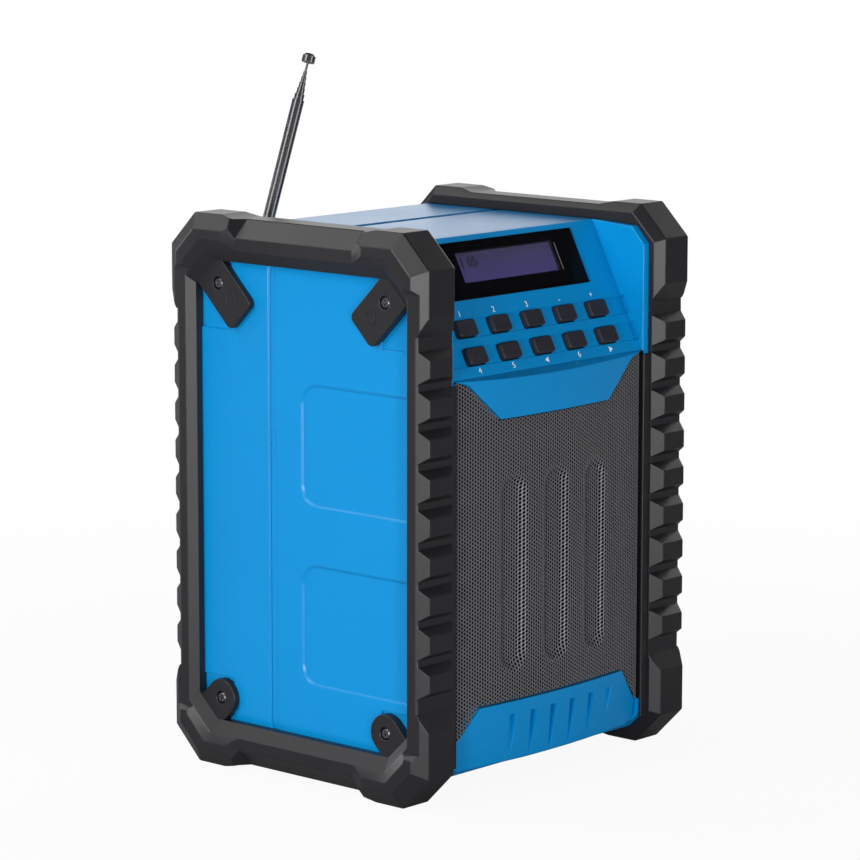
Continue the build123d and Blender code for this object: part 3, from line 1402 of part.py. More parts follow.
for (x, y), name in zip(key_places, key_names):
    pieces[f"button_{name}"] = key_form.part.moved(panel_plane.location * Location((x, y, 0)))

for name, piece in pieces.items():
    piece.label = name
    export_step(piece, f"parts/{name}.step")
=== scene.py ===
import bpy
from math import cos, radians, sin, sqrt
from mathutils import Matrix, Vector


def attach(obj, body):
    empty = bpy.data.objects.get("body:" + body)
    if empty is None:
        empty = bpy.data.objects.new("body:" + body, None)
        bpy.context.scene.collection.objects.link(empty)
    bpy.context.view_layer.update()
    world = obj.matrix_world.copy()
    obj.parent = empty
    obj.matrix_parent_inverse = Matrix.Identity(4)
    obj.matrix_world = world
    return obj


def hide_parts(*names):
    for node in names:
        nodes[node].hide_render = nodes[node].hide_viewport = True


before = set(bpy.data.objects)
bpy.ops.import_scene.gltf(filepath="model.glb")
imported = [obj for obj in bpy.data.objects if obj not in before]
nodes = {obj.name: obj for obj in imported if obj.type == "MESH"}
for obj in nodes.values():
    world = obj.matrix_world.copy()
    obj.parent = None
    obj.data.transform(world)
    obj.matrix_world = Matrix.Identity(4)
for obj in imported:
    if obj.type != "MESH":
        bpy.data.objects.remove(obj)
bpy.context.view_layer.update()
scene = bpy.context.scene
print("frame loaded:", len(nodes), "nodes")

# camera, lamps and floor
camera = {
    "place": (-1.1666, -1.0416, 0.4005),
    "turn": (80.515, -0.061, -48.201),  # degrees, looking slightly down at the front left corner
    "lens": 155.64,
    "sensor": 36.0,
    "near": 0.05,
    "far": 20.0,
}
studio = {
    "world": (0.085, 0.087, 0.092),
    "aim": (0, 0, 0.12),
    "lamps": {
        "key": {"place": (-1.5, 0.30, 1.45), "size": 0.9, "power": 9.0, "colour": (1.0, 0.99, 0.98)},
        "sky": {"place": (-0.55, 1.38, 1.58), "size": 1.2, "power": 10.0, "colour": (1.0, 0.99, 0.98)},
        "fill": {"place": (0.4, -2.0, 0.6), "size": 0.9, "power": 7.0, "colour": (0.98, 0.99, 1.0)},
        "strip": {"place": (-1.80, 0.30, 0.72), "size": 0.35, "power": 10.0, "colour": (1.0, 1.0, 1.0)},
        "low": {"place": (-1.85, -0.80, 0.20), "size": 0.45, "power": 16.0, "colour": (1.0, 1.0, 1.0)},
        "near": {"place": (-1.1, -1.65, 0.20), "size": 0.45, "power": 16.0, "colour": (1.0, 1.0, 1.0)},
        "back": {"place": (1.6, 1.4, 0.75), "size": 1.4, "power": 7.0, "colour": (1.0, 1.0, 1.0)},
        "rear": {"place": (-0.6, 2.0, 0.35), "size": 0.8, "power": 8.0, "colour": (1.0, 1.0, 1.0)},
        "right": {"place": (1.95, 0.15, 0.65), "size": 1.0, "power": 14.0, "colour": (1.0, 1.0, 1.0)},
    },
}
# the floor looks white, softens to pure white away from the object and bounces less light than it shows
floorPaper = {
    "size": 12.0, "rough": 0.9, "seen": 0.86, "bounced": 0.40, "near": 0.25, "far": 0.75, "least": 0.93,
}


def deselectAll():
    if bpy.context.object and bpy.context.object.mode != "OBJECT":
        bpy.ops.object.mode_set(mode="OBJECT")
    bpy.ops.object.select_all(action="DESELECT")


def makeActive(obj):
    deselectAll()
    obj.select_set(True)
    bpy.context.view_layer.objects.active = obj


def addCamera():
    bpy.ops.object.camera_add(location=camera["place"], rotation=[radians(a) for a in camera["turn"]])
    view = bpy.context.object
    view.name = "viewCamera"
    view.data.lens = camera["lens"]
    view.data.sensor_width = camera["sensor"]
    view.data.clip_start = camera["near"]
    view.data.clip_end = camera["far"]
    scene.camera = view


def addLight(name, spec):
    bpy.ops.object.light_add(type="AREA", location=spec["place"])
    lamp = bpy.context.object
    lamp.name = name
    lamp.data.shape = "DISK"
    lamp.data.size = spec["size"]
    lamp.data.energy = spec["power"]
    lamp.data.color = spec["colour"]
    aim = Vector(studio["aim"]) - Vector(spec["place"])
    lamp.rotation_euler = aim.to_track_quat("-Z", "Y").to_euler()


def addWorld():
    world = bpy.data.worlds.new("studioWorld")
    scene.world = world
    world.use_nodes = True
    tree = world.node_tree
    tree.nodes.clear()
    out = tree.nodes.new("ShaderNodeOutputWorld")
    mix = tree.nodes.new("ShaderNodeMixShader")
    soft = tree.nodes.new("ShaderNodeBackground")
    white = tree.nodes.new("ShaderNodeBackground")
    soft.inputs["Color"].default_value = (*studio["world"], 1)
    white.inputs["Color"].default_value = (1, 1, 1, 1)
    tree.links.new(seenDirectly(tree), mix.inputs[0])
    tree.links.new(soft.outputs[0], mix.inputs[1])
    tree.links.new(white.outputs[0], mix.inputs[2])
    tree.links.new(mix.outputs[0], out.inputs[0])


def seenDirectly(tree):
    # camera and transmitted rays see the white backdrop
    path = tree.nodes.new("ShaderNodeLightPath")
    both = tree.nodes.new("ShaderNodeMath")
    both.operation = "MAXIMUM"
    tree.links.new(path.outputs["Is Camera Ray"], both.inputs[0])
    tree.links.new(path.outputs["Is Transmission Ray"], both.inputs[1])
    return both.outputs[0]


def addFloor():
    bpy.ops.mesh.primitive_plane_add(size=floorPaper["size"], location=(0, 0, 0))
    floor = bpy.context.object
    floor.name = "floor"
    bpy.ops.object.transform_apply(location=True, rotation=True, scale=True)
    paint = bpy.data.materials.new("floorPaper")
    paint.use_nodes = True
    tree = paint.node_tree
    shader = tree.nodes["Principled BSDF"]
    shader.inputs["Roughness"].default_value = floorPaper["rough"]
    seen = seenDirectly(tree)
    tone = tree.nodes.new("ShaderNodeMix")
    tone.data_type = "RGBA"
    tone.inputs["A"].default_value = (floorPaper["bounced"],) * 3 + (1,)
    tone.inputs["B"].default_value = (floorPaper["seen"],) * 3 + (1,)
    tree.links.new(seen, tone.inputs["Factor"])
    tree.links.new(tone.outputs["Result"], shader.inputs["Base Color"])
    where = tree.nodes.new("ShaderNodeTexCoord")
    away = tree.nodes.new("ShaderNodeVectorMath")
    away.operation = "LENGTH"
    fade = tree.nodes.new("ShaderNodeMapRange")
    fade.interpolation_type = "SMOOTHSTEP"
    fade.inputs["From Min"].default_value = floorPaper["near"]
    fade.inputs["From Max"].default_value = floorPaper["far"]
    fade.inputs["To Min"].default_value = floorPaper["least"]
    tree.links.new(where.outputs["Object"], away.inputs[0])
    tree.links.new(away.outputs["Value"], fade.inputs["Value"])
    glow = tree.nodes.new("ShaderNodeEmission")
    glow.inputs["Color"].default_value = (1, 1, 1, 1)
    mix = tree.nodes.new("ShaderNodeMixShader")
    share = tree.nodes.new("ShaderNodeMath")
    share.operation = "MULTIPLY"
    tree.links.new(seen, share.inputs[0])
    tree.links.new(fade.outputs["Result"], share.inputs[1])
    tree.links.new(share.outputs[0], mix.inputs[0])
    tree.links.new(shader.outputs[0], mix.inputs[1])
    tree.links.new(glow.outputs[0], mix.inputs[2])
    tree.links.new(mix.outputs[0], tree.nodes["Material Output"].inputs[0])
    floor.data.materials.append(paint)


deselectAll()
addCamera()
for lampName, lampSpec in studio["lamps"].items():
    addLight(lampName + "Light", lampSpec)
addWorld()
addFloor()
scene.view_settings.view_transform = "Standard"
print("camera, lights and floor placed")


# grain that all the moulded finishes share
def newGroup(name, inputs, outputs):
    group = bpy.data.node_groups.new(name, "ShaderNodeTree")
    for label, kind, value in inputs:
        socket = group.interface.new_socket(label, in_out="INPUT", socket_type=kind)
        socket.default_value = value
    for label, kind in outputs:
        group.interface.new_socket(label, in_out="OUTPUT", socket_type=kind)
    return group, group.nodes.new("NodeGroupInput"), group.nodes.new("NodeGroupOutput")


grainNoise = {"fineDetail": 2.0, "slowScale": 22.0, "slowDetail": 3.0, "depth": 0.0002}


def mouldedGrainGroup():
    # fine spark-eroded grain with slow drifts of tone, on object coordinates
    group, given, out = newGroup(
        "mouldedGrain",
        [
            ("Color", "NodeSocketColor", (0.5, 0.5, 0.5, 1)),
            ("Grain Size", "NodeSocketFloat", 1800.0),
            ("Grain Height", "NodeSocketFloat", 0.2),
            ("Tone Drift", "NodeSocketFloat", 0.08),
            ("Roughness", "NodeSocketFloat", 0.5),
            ("Roughness Drift", "NodeSocketFloat", 0.1),
        ],
        [("Color", "NodeSocketColor"), ("Roughness", "NodeSocketFloat"), ("Normal", "NodeSocketVector")],
    )
    nodesOf, links = group.nodes, group.links
    where = nodesOf.new("ShaderNodeTexCoord")
    fine = nodesOf.new("ShaderNodeTexNoise")
    fine.inputs["Detail"].default_value = grainNoise["fineDetail"]
    slow = nodesOf.new("ShaderNodeTexNoise")
    slow.inputs["Scale"].default_value = grainNoise["slowScale"]
    slow.inputs["Detail"].default_value = grainNoise["slowDetail"]
    bump = nodesOf.new("ShaderNodeBump")
    bump.inputs["Distance"].default_value = grainNoise["depth"]
    links.new(where.outputs["Object"], fine.inputs["Vector"])
    links.new(where.outputs["Object"], slow.inputs["Vector"])
    links.new(given.outputs["Grain Size"], fine.inputs["Scale"])
    links.new(fine.outputs["Fac"], bump.inputs["Height"])
    links.new(given.outputs["Grain Height"], bump.inputs["Strength"])
    centred = nodesOf.new("ShaderNodeMath")
    centred.operation = "SUBTRACT"
    centred.inputs[1].default_value = 0.5
    links.new(slow.outputs["Fac"], centred.inputs[0])
    drift = nodesOf.new("ShaderNodeMath")
    drift.operation = "MULTIPLY_ADD"
    drift.inputs[2].default_value = 1.0
    links.new(centred.outputs[0], drift.inputs[0])
    links.new(given.outputs["Tone Drift"], drift.inputs[1])
    tint = nodesOf.new("ShaderNodeVectorMath")
    tint.operation = "SCALE"
    links.new(given.outputs["Color"], tint.inputs[0])
    links.new(drift.outputs[0], tint.inputs["Scale"])
    rough = nodesOf.new("ShaderNodeMath")
    rough.operation = "MULTIPLY_ADD"
    rough.use_clamp = True
    links.new(centred.outputs[0], rough.inputs[0])
    links.new(given.outputs["Roughness Drift"], rough.inputs[1])
    links.new(given.outputs["Roughness"], rough.inputs[2])
    links.new(tint.outputs[0], out.inputs["Color"])
    links.new(rough.outputs[0], out.inputs["Roughness"])
    links.new(bump.outputs[0], out.inputs["Normal"])
    return group


grainGroup = mouldedGrainGroup()

finishes = {
    "bluePlastic": {
        "colour": (0.0, 0.229, 0.550), "size": 2600.0, "height": 0.07, "drift": 0.08,
        "rough": 0.29, "roughDrift": 0.10, "metal": 0.0, "specular": 0.30,
    },
    "bumperRubber": {
        "colour": (0.0095, 0.0088, 0.0108), "size": 1500.0, "height": 0.16, "drift": 0.25,
        "rough": 0.40, "roughDrift": 0.10, "metal": 0.0, "specular": 0.45,
    },
    "grilleSteel": {
        "colour": (0.155, 0.153, 0.163), "size": 3200.0, "height": 0.08, "drift": 0.15,
        "rough": 0.38, "roughDrift": 0.10, "metal": 0.3, "specular": 0.5,
    },
    "keyRubber": {
        "colour": (0.020, 0.019, 0.026), "size": 2400.0, "height": 0.2, "drift": 0.2,
        "rough": 0.44, "roughDrift": 0.1, "metal": 0.0, "specular": 0.32,
    },
    "blackPlastic": {
        "colour": (0.010, 0.010, 0.011), "size": 2400.0, "height": 0.12, "drift": 0.2,
        "rough": 0.45, "roughDrift": 0.1, "metal": 0.0, "specular": 0.5,
    },
    "screwSteel": {
        "colour": (0.20, 0.20, 0.21), "size": 3000.0, "height": 0.1, "drift": 0.2,
        "rough": 0.32, "roughDrift": 0.15, "metal": 1.0, "specular": 0.5,
    },
    "tinnedSteel": {
        "colour": (0.58, 0.58, 0.56), "size": 900.0, "height": 0.12, "drift": 0.15,
        "rough": 0.34, "roughDrift": 0.2, "metal": 1.0, "specular": 0.5,
    },
    "darkChrome": {
        "colour": (0.15, 0.147, 0.156), "size": 1200.0, "height": 0.02, "drift": 0.10,
        "rough": 0.28, "roughDrift": 0.08, "metal": 1.0, "specular": 0.5,
    },
    "magnetIron": {
        "colour": (0.045, 0.045, 0.047), "size": 1200.0, "height": 0.4, "drift": 0.3,
        "rough": 0.62, "roughDrift": 0.15, "metal": 0.1, "specular": 0.4,
    },
    "conePaper": {
        "colour": (0.022, 0.021, 0.022), "size": 700.0, "height": 0.6, "drift": 0.3,
        "rough": 0.8, "roughDrift": 0.1, "metal": 0.0, "specular": 0.3,
    },
    "boardGreen": {
        "colour": (0.012, 0.13, 0.05), "size": 900.0, "height": 0.15, "drift": 0.35,
        "rough": 0.35, "roughDrift": 0.1, "metal": 0.0, "specular": 0.5,
    },
    "sleeveOlive": {
        "colour": (0.20, 0.22, 0.06), "size": 900.0, "height": 0.1, "drift": 0.2,
        "rough": 0.35, "roughDrift": 0.1, "metal": 0.0, "specular": 0.5,
    },
    # painted shade: near-black for the housing faces behind the grille
    "recessShadeBlack": {
        "colour": (0.0050, 0.0050, 0.0056), "size": 1400.0, "height": 0.3, "drift": 0.3,
        "rough": 0.9, "roughDrift": 0.05, "metal": 0.0, "specular": 0.1,
    },
    "markWhite": {
        "colour": (0.80, 0.82, 0.84), "size": 2000.0, "height": 0.1, "drift": 0.1,
        "rough": 0.5, "roughDrift": 0.1, "metal": 0.0, "specular": 0.4,
    },
    "maskInk": {
        "colour": (0.0022, 0.0022, 0.0026), "size": 1500.0, "height": 0.0, "drift": 0.2,
        "rough": 0.6, "roughDrift": 0.1, "metal": 0.0, "specular": 0.0,
    },
    "displayInk": {
        "colour": (0.004, 0.003, 0.012), "size": 1500.0, "height": 0.05, "drift": 0.2,
        "rough": 0.5, "roughDrift": 0.1, "metal": 0.0, "specular": 0.1,
    },
    # painted highlight: light grey for the thin strip beside the display window, standing in for the bezel
    # edge's highlight
    "paintedHighlightGrey": {
        "colour": (0.16, 0.15, 0.17), "size": 1500.0, "height": 0.05, "drift": 0.3,
        "rough": 0.3, "roughDrift": 0.1, "metal": 0.0, "specular": 0.5,
    },
}


def mouldedMaterial(name, spec):
    material = bpy.data.materials.new(name)
    material.use_nodes = True
    tree = material.node_tree
    shader = tree.nodes["Principled BSDF"]
    grain = tree.nodes.new("ShaderNodeGroup")
    grain.node_tree = grainGroup
    grain.inputs["Color"].default_value = (*spec["colour"], 1)
    grain.inputs["Grain Size"].default_value = spec["size"]
    grain.inputs["Grain Height"].default_value = spec["height"]
    grain.inputs["Tone Drift"].default_value = spec["drift"]
    grain.inputs["Roughness"].default_value = spec["rough"]
    grain.inputs["Roughness Drift"].default_value = spec["roughDrift"]
    tree.links.new(grain.outputs["Color"], shader.inputs["Base Color"])
    tree.links.new(grain.outputs["Roughness"], shader.inputs["Roughness"])
    tree.links.new(grain.outputs["Normal"], shader.inputs["Normal"])
    shader.inputs["Metallic"].default_value = spec["metal"]
    shader.inputs["Specular IOR Level"].default_value = spec["specular"]
    return material


materials = {name: mouldedMaterial(name, spec) for name, spec in finishes.items()}

windowFinish = {"colour": (0.9, 0.92, 1.0), "rough": 0.02, "ior": 1.12}


def windowMaterial():
    material = bpy.data.materials.new("clearWindow")
    material.use_nodes = True
    shader = material.node_tree.nodes["Principled BSDF"]
    shader.inputs["Base Color"].default_value = (*windowFinish["colour"], 1)
    shader.inputs["Roughness"].default_value = windowFinish["rough"]
    shader.inputs["IOR"].default_value = windowFinish["ior"]
    shader.inputs["Transmission Weight"].default_value = 1.0
    return material


displayFinish = {
    "low": (0.026, 0.021, 0.074), "high": (0.022, 0.019, 0.040), "glow": 0.6,
    "lowZ": 0.2085, "highZ": 0.2215, "rough": 0.4, "specular": 0.05,
}


def displayMaterial():
    # lit panel, bluer towards its lower edge
    material = bpy.data.materials.new("litDisplay")
    material.use_nodes = True
    tree = material.node_tree
    shader = tree.nodes["Principled BSDF"]
    where = tree.nodes.new("ShaderNodeTexCoord")
    split = tree.nodes.new("ShaderNodeSeparateXYZ")
    span = tree.nodes.new("ShaderNodeMapRange")
    span.inputs["From Min"].default_value = displayFinish["lowZ"]
    span.inputs["From Max"].default_value = displayFinish["highZ"]
    ramp = tree.nodes.new("ShaderNodeValToRGB")
    ramp.color_ramp.elements[0].color = (*displayFinish["low"], 1)
    ramp.color_ramp.elements[1].color = (*displayFinish["high"], 1)
    tree.links.new(where.outputs["Object"], split.inputs[0])
    tree.links.new(split.outputs["Z"], span.inputs["Value"])
    tree.links.new(span.outputs[0], ramp.inputs[0])
    tree.links.new(ramp.outputs[0], shader.inputs["Base Color"])
    tree.links.new(ramp.outputs[0], shader.inputs["Emission Color"])
    shader.inputs["Emission Strength"].default_value = displayFinish["glow"]
    shader.inputs["Roughness"].default_value = displayFinish["rough"]
    shader.inputs["Specular IOR Level"].default_value = displayFinish["specular"]
    return material


materials["clearWindow"] = windowMaterial()
materials["litDisplay"] = displayMaterial()
print("finishes made:", len(materials))

nodeFinish = {
    "bluePlastic": ["front_housing", "control_panel", "rear_housing", "apron", "chin"],
    "bumperRubber": ["bumper_left", "bumper_right", "socket_flap"],
    "grilleSteel": ["grille"],
    "screwSteel": [
        "bumper_screws_left", "bumper_screws_right", "housing_screws", "key_board_screws",
        "speaker_screws", "main_board_screws",
    ],
    "blackPlastic": [
        "display_frame", "key_switches", "battery_tray", "power_socket", "audio_socket", "antenna_swivel",
    ],
    "boardGreen": ["key_board", "main_board"],
    "tinnedSteel": ["speaker_basket", "tuner_can", "antenna_nut", "antenna_pin"],
    "magnetIron": ["speaker_magnet"],
    "conePaper": ["speaker_cone", "speaker_dust_cap"],
    "keyRubber": ["speaker_surround", "board_capacitors"],
    "sleeveOlive": ["battery_cells"],
    "darkChrome": ["antenna_mast"] + [f"antenna_section_{n}" for n in range(1, 6)],
    "clearWindow": ["display_window"],
    "litDisplay": ["display_panel"],
}


def setMaterial(obj, material):
    obj.data.materials.clear()
    obj.data.materials.append(material)


for finishName, nodeNames in nodeFinish.items():
    for nodeName in nodeNames:
        setMaterial(nodes[nodeName], materials[finishName])


# moulded pieces: the CAD form with its edges rounded
# how each of them is cleaned, rounded and shaded, with angles in degrees
moulding = {
    "weld": 0.000002,
    "flat": 0.8,  # faces that turn less than this are made one
    "turn": 11.0,  # outer edges that turn more than this are rounded
    "straight": 150.0,  # an edge that nearly runs on takes no room from a bevel
    "alone": 0.92,  # share of a short neighbour that one bevel may take
    "shared": 0.46,  # share that each of two bevels may take
    "tiny": 1e-7,
    "smooth": 42.0,  # bevels shade smooth up to this turn
    "crisp": 26.0,  # the same on rubber, whose facets meet at shallow angles
    "faceWeight": 100,  # how far large faces outweigh narrow ones
    "sideways": 0.9,  # a face whose normal's x is more is the side or a pocket's floor, not a wall
    "leastMove": 0.1,  # a corner whose walls' directions cancel out stays where it is
}


def outerEdges(mesh, least):
    # edges that turn outwards by more than the least angle
    sides = {}
    for polygon in mesh.polygons:
        for loopIndex in polygon.loop_indices:
            loop = mesh.loops[loopIndex]
            sides.setdefault(loop.edge_index, []).append((polygon.normal, loop.vertex_index))
    found = set()
    for index, pair in sides.items():
        if len(pair) != 2 or pair[0][0].angle(pair[1][0], 0) < least:
            continue
        edge = mesh.edges[index]
        start = pair[0][1]
        end = edge.vertices[0] if edge.vertices[1] == start else edge.vertices[1]
        along = mesh.vertices[end].co - mesh.vertices[start].co
        if pair[1][0].dot(pair[0][0].cross(along)) < 0:
            found.add(index)
    return found


def weighEdges(mesh, width, least, wide):
    # a bevel narrows where a short neighbour leaves it no room
    outer = outerEdges(mesh, least)
    meeting = {}
    for edge in mesh.edges:
        for end in edge.vertices:
            meeting.setdefault(end, []).append(edge)
    turned = {end for index in outer for end in mesh.edges[index].vertices}
    widest = max([width] + [step["width"] for step in wide])
    weights = mesh.attributes.new("bevel_weight_edge", "FLOAT", "EDGE")
    for index in outer:
        edge = mesh.edges[index]
        ends = [mesh.vertices[end].co for end in edge.vertices]
        room = width
        for step in wide:
            if all(step["covers"](end) for end in ends):
                room = step["width"]
        for end, away in (edge.vertices, tuple(edge.vertices)[::-1]):
            here = mesh.vertices[end].co
            along = mesh.vertices[away].co - here
            for other in meeting[end]:
                if other.index == index:
                    continue
                far = other.vertices[0] if other.vertices[1] == end else other.vertices[1]
                reach = mesh.vertices[far].co - here
                if min(reach.length, along.length) < moulding["tiny"]:
                    continue
                turn = along.angle(reach, 0)
                if turn > radians(moulding["straight"]):
                    continue
                share = moulding["shared"] if far in turned else moulding["alone"]
                room = min(room, share * reach.length * sin(turn))
        weights.data[index].value = room / widest
    return widest


def shadeFlat(piece, smooth, sharp=None):
    # large faces shade flat, and the narrow bevels between them smooth
    makeActive(piece)
    bpy.ops.object.shade_smooth_by_angle(angle=radians(smooth))
    if sharp:
        ends = piece.data.vertices
        for edge in piece.data.edges:
            if all(sharp(ends[end].co) for end in edge.vertices):
                edge.use_edge_sharp = True
    flat = piece.modifiers.new("flatFaces", "WEIGHTED_NORMAL")
    flat.weight = moulding["faceWeight"]
    flat.keep_sharp = True
    bpy.ops.object.modifier_apply(modifier=flat.name)


def slopeRims(mesh, slope):
    # the rim of each side pocket moves away from the pocket, so that its walls slope more gently
    moves = {}
    for polygon in mesh.polygons:
        if abs(polygon.normal.x) > moulding["sideways"]:
            continue
        for end in polygon.vertices:
            place = mesh.vertices[end].co
            if slope["covers"](place):
                moves.setdefault(end, Vector())
                moves[end] -= Vector((0, polygon.normal.y, polygon.normal.z)).normalized()
    for end, move in moves.items():
        if move.length > moulding["leastMove"]:
            mesh.vertices[end].co += move.normalized() * slope["run"]


def roundedCopy(nodeName, newName, body, width, segments, finishName, wide=(), slope=None):
    source = nodes[nodeName]
    piece = bpy.data.objects.new(newName, source.data.copy())
    piece.matrix_world = source.matrix_world.copy()
    scene.collection.objects.link(piece)
    makeActive(piece)
    bpy.ops.object.transform_apply(location=True, rotation=True, scale=True)
    bpy.ops.object.mode_set(mode="EDIT")
    bpy.ops.mesh.select_all(action="SELECT")
    bpy.ops.mesh.customdata_custom_splitnormals_clear()
    bpy.ops.mesh.remove_doubles(threshold=moulding["weld"])
    bpy.ops.mesh.dissolve_limited(angle_limit=radians(moulding["flat"]))
    bpy.ops.object.mode_set(mode="OBJECT")
    if slope:
        slopeRims(piece.data, slope)
    widest = weighEdges(piece.data, width, radians(moulding["turn"]), wide)
    bevel = piece.modifiers.new("edges", "BEVEL")
    bevel.width = widest
    bevel.segments = segments
    bevel.limit_method = "WEIGHT"
    bevel.use_clamp_overlap = False
    bevel.miter_outer = "MITER_ARC"
    bpy.ops.object.modifier_apply(modifier=bevel.name)
    smooth = moulding["crisp"] if finishName == "bumperRubber" else moulding["smooth"]
    shadeFlat(piece, smooth, slope and slope["foot"])
    setMaterial(piece, materials[finishName])
    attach(piece, body)
    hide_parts(nodeName)


# the side panel's pockets and seam, whose rims get a wider rounding
sidePanel = {
    "face": 0.078,
    "floor": 0.0771,  # of the pockets
    "pockets": [(0.0410, 0.0932), (0.1164, 0.1686)],
    "back": 0.0026,
    "pocketSlack": 0.00005,
    "run": 0.0003,
    "pocket": 0.0006,
    "seamFront": 0.0170,
    "seamBack": 0.0209,
    "seamSlack": 0.0001,
    "seam": 0.0008,
}
chinFoot = {"top": 0.0106, "width": 0.0016}
# the rounding of a key, and how far the rim of its hole reaches from its middle
keyCap = {"width": 0.0004, "segments": 3, "holeX": 0.0068, "holeZ": 0.0058}


def byPocket(end, x):
    return (
        abs(abs(end.x) - x) < sidePanel["pocketSlack"]
        and end.y < sidePanel["back"]
        and any(low < end.z < high for low, high in sidePanel["pockets"])
    )


def bySeam(end):
    away = min(abs(end.y - sidePanel["seamFront"]), abs(end.y - sidePanel["seamBack"]))
    return away < sidePanel["seamSlack"]


pocketSlope = {
    "covers": lambda end: byPocket(end, sidePanel["face"]),
    "foot": lambda end: byPocket(end, sidePanel["floor"]),
    "run": sidePanel["run"],
}
wideRims = [
    {"width": sidePanel["pocket"], "covers": pocketSlope["covers"]},
    {"width": sidePanel["seam"], "covers": bySeam},
]
keyNames = [
    "power", "mode", "info", "volume_down", "volume_up",
    "preset", "scan", "previous", "select", "next",
]
# for each node: the new piece, its body, the rounding's width and segments, and the finish
rounding = {
    "front_housing": ("frontShell", "radio", 0.0004, 3, "bluePlastic"),
    "control_panel": ("panelSheet", "radio", 0.0003, 2, "bluePlastic"),
    "rear_housing": ("rearShell", "radio", 0.0004, 3, "bluePlastic"),
    "bumper_left": ("leftBumper", "radio", 0.00045, 4, "bumperRubber"),
    "bumper_right": ("rightBumper", "radio", 0.00045, 4, "bumperRubber"),
    "apron": ("apronTrim", "radio", 0.0004, 3, "bluePlastic"),
    "chin": ("chinTrim", "radio", 0.0004, 3, "bluePlastic"),
    "socket_flap": ("flapRubber", "flap", 0.0003, 3, "bumperRubber"),
}
for keyName in keyNames:
    rounding["button_" + keyName] = (
        "cap_" + keyName, "key_" + keyName, keyCap["width"], keyCap["segments"], "keyRubber",
    )


def keyHole(keyName):
    # the rim of a key hole stays as it is
    cap = nodes["button_" + keyName]
    corners = [cap.matrix_world @ Vector(corner) for corner in cap.bound_box]
    middle = sum(corners, Vector()) / 8
    return {
        "width": 0.0,
        "covers": lambda end: (
            abs(end.x - middle.x) < keyCap["holeX"] and abs(end.z - middle.z) < keyCap["holeZ"]
        ),
    }


rims = {
    "front_housing": wideRims,
    "rear_housing": wideRims,
    "chin": [{"width": chinFoot["width"], "covers": lambda end: end.z < chinFoot["top"]}],
    "control_panel": [keyHole(keyName) for keyName in keyNames],
}
for nodeName, (newName, body, width, segments, finishName) in rounding.items():
    slope = pocketSlope if nodeName == "front_housing" else None
    roundedCopy(nodeName, newName, body, width, segments, finishName, rims.get(nodeName, ()), slope)

# the box of housing faces behind the grille that are coloured as painted shade
recessShade = {"halfWidth": 0.0613, "y": (-0.0668, -0.0550), "z": (0.0214, 0.1734), "slack": 0.0001}


def shadeGrilleRecess():
    # painted shade: the housing faces behind the grille are coloured near-black, so that the holes read dark
    shell = bpy.data.objects["frontShell"]
    front, back = recessShade["y"]
    low, high = recessShade["z"]
    makeActive(shell)
    bpy.ops.object.mode_set(mode="EDIT")
    for height in (low, high):
        bpy.ops.mesh.select_all(action="SELECT")
        bpy.ops.mesh.bisect(plane_co=(0, 0, height), plane_no=(0, 0, 1))
    bpy.ops.object.mode_set(mode="OBJECT")
    shell.data.materials.append(materials["recessShadeBlack"])
    for polygon in shell.data.polygons:
        ends = [shell.data.vertices[end].co for end in polygon.vertices]
        if all(
            abs(end.x) < recessShade["halfWidth"]
            and front < end.y < back
            and low - recessShade["slack"] < end.z < high + recessShade["slack"]
            for end in ends
        ):
            polygon.material_index = 1
    shadeFlat(shell, moulding["smooth"], pocketSlope["foot"])


shadeGrilleRecess()
print("moulded pieces rounded")

# perforated grille
grille = {
    "pitch": 0.00164,  # hole to hole, in every direction
    "hole": 0.00120,
    "thickness": 0.0003,
    "halfWidth": 0.0593,
    "low": 0.0214,
    "high": 0.1730,
    "start": -0.075,  # in front of the sheet that it is pressed onto
    "cellWeld": 0.00001,
    "rowWeld": 0.00002,
    # edges beside the apron and the chin, half a millimetre of clearance at most
    "apron": [(0.03453, 0.15515), (0.05217, 0.17068), (0.0607, 0.17316)],
    "chin": [(0.04586, 0.03715), (0.05940, 0.02176)],
    "channels": {"x": 0.042, "low": 0.045, "high": 0.150, "factor": 0.5, "passes": 36},
    "flange": {"low": 0.0220, "high": 0.1724, "front": -0.0651, "back": -0.0635},
}


def perforatedSheet(name):
    # one six-sided cell with its hole, set out in staggered columns
    pitch = grille["pitch"]
    columnStep = pitch * sqrt(3) / 2
    deselectAll()
    bpy.ops.mesh.primitive_circle_add(
        vertices=6, radius=pitch / sqrt(3), fill_type="NGON",
        location=(-grille["halfWidth"], grille["start"], grille["low"]),
    )
    sheet = bpy.context.object
    sheet.name = name
    sheet.rotation_euler = (radians(90), radians(30), 0)
    bpy.ops.object.transform_apply(location=True, rotation=True, scale=True)
    bpy.ops.object.mode_set(mode="EDIT")
    bpy.ops.mesh.select_all(action="SELECT")
    bpy.ops.mesh.inset(thickness=(pitch - grille["hole"]) / 2)
    bpy.ops.mesh.delete(type="FACE")
    bpy.ops.mesh.select_all(action="SELECT")
    bpy.ops.mesh.duplicate_move(TRANSFORM_OT_translate={"value": (columnStep, 0, pitch / 2)})
    bpy.ops.mesh.select_all(action="SELECT")
    bpy.ops.mesh.remove_doubles(threshold=grille["cellWeld"])
    bpy.ops.object.mode_set(mode="OBJECT")
    across = int(2 * grille["halfWidth"] / (2 * columnStep)) + 2
    upward = int((grille["high"] - grille["low"]) / pitch) + 2
    for count, step in ((across, (2 * columnStep, 0, 0)), (upward, (0, 0, pitch))):
        repeat = sheet.modifiers.new("repeat", "ARRAY")
        repeat.count = count
        repeat.use_relative_offset = False
        repeat.use_constant_offset = True
        repeat.constant_offset_displace = step
        repeat.use_merge_vertices = True
        repeat.merge_threshold = grille["rowWeld"]
        bpy.ops.object.modifier_apply(modifier=repeat.name)
    return sheet


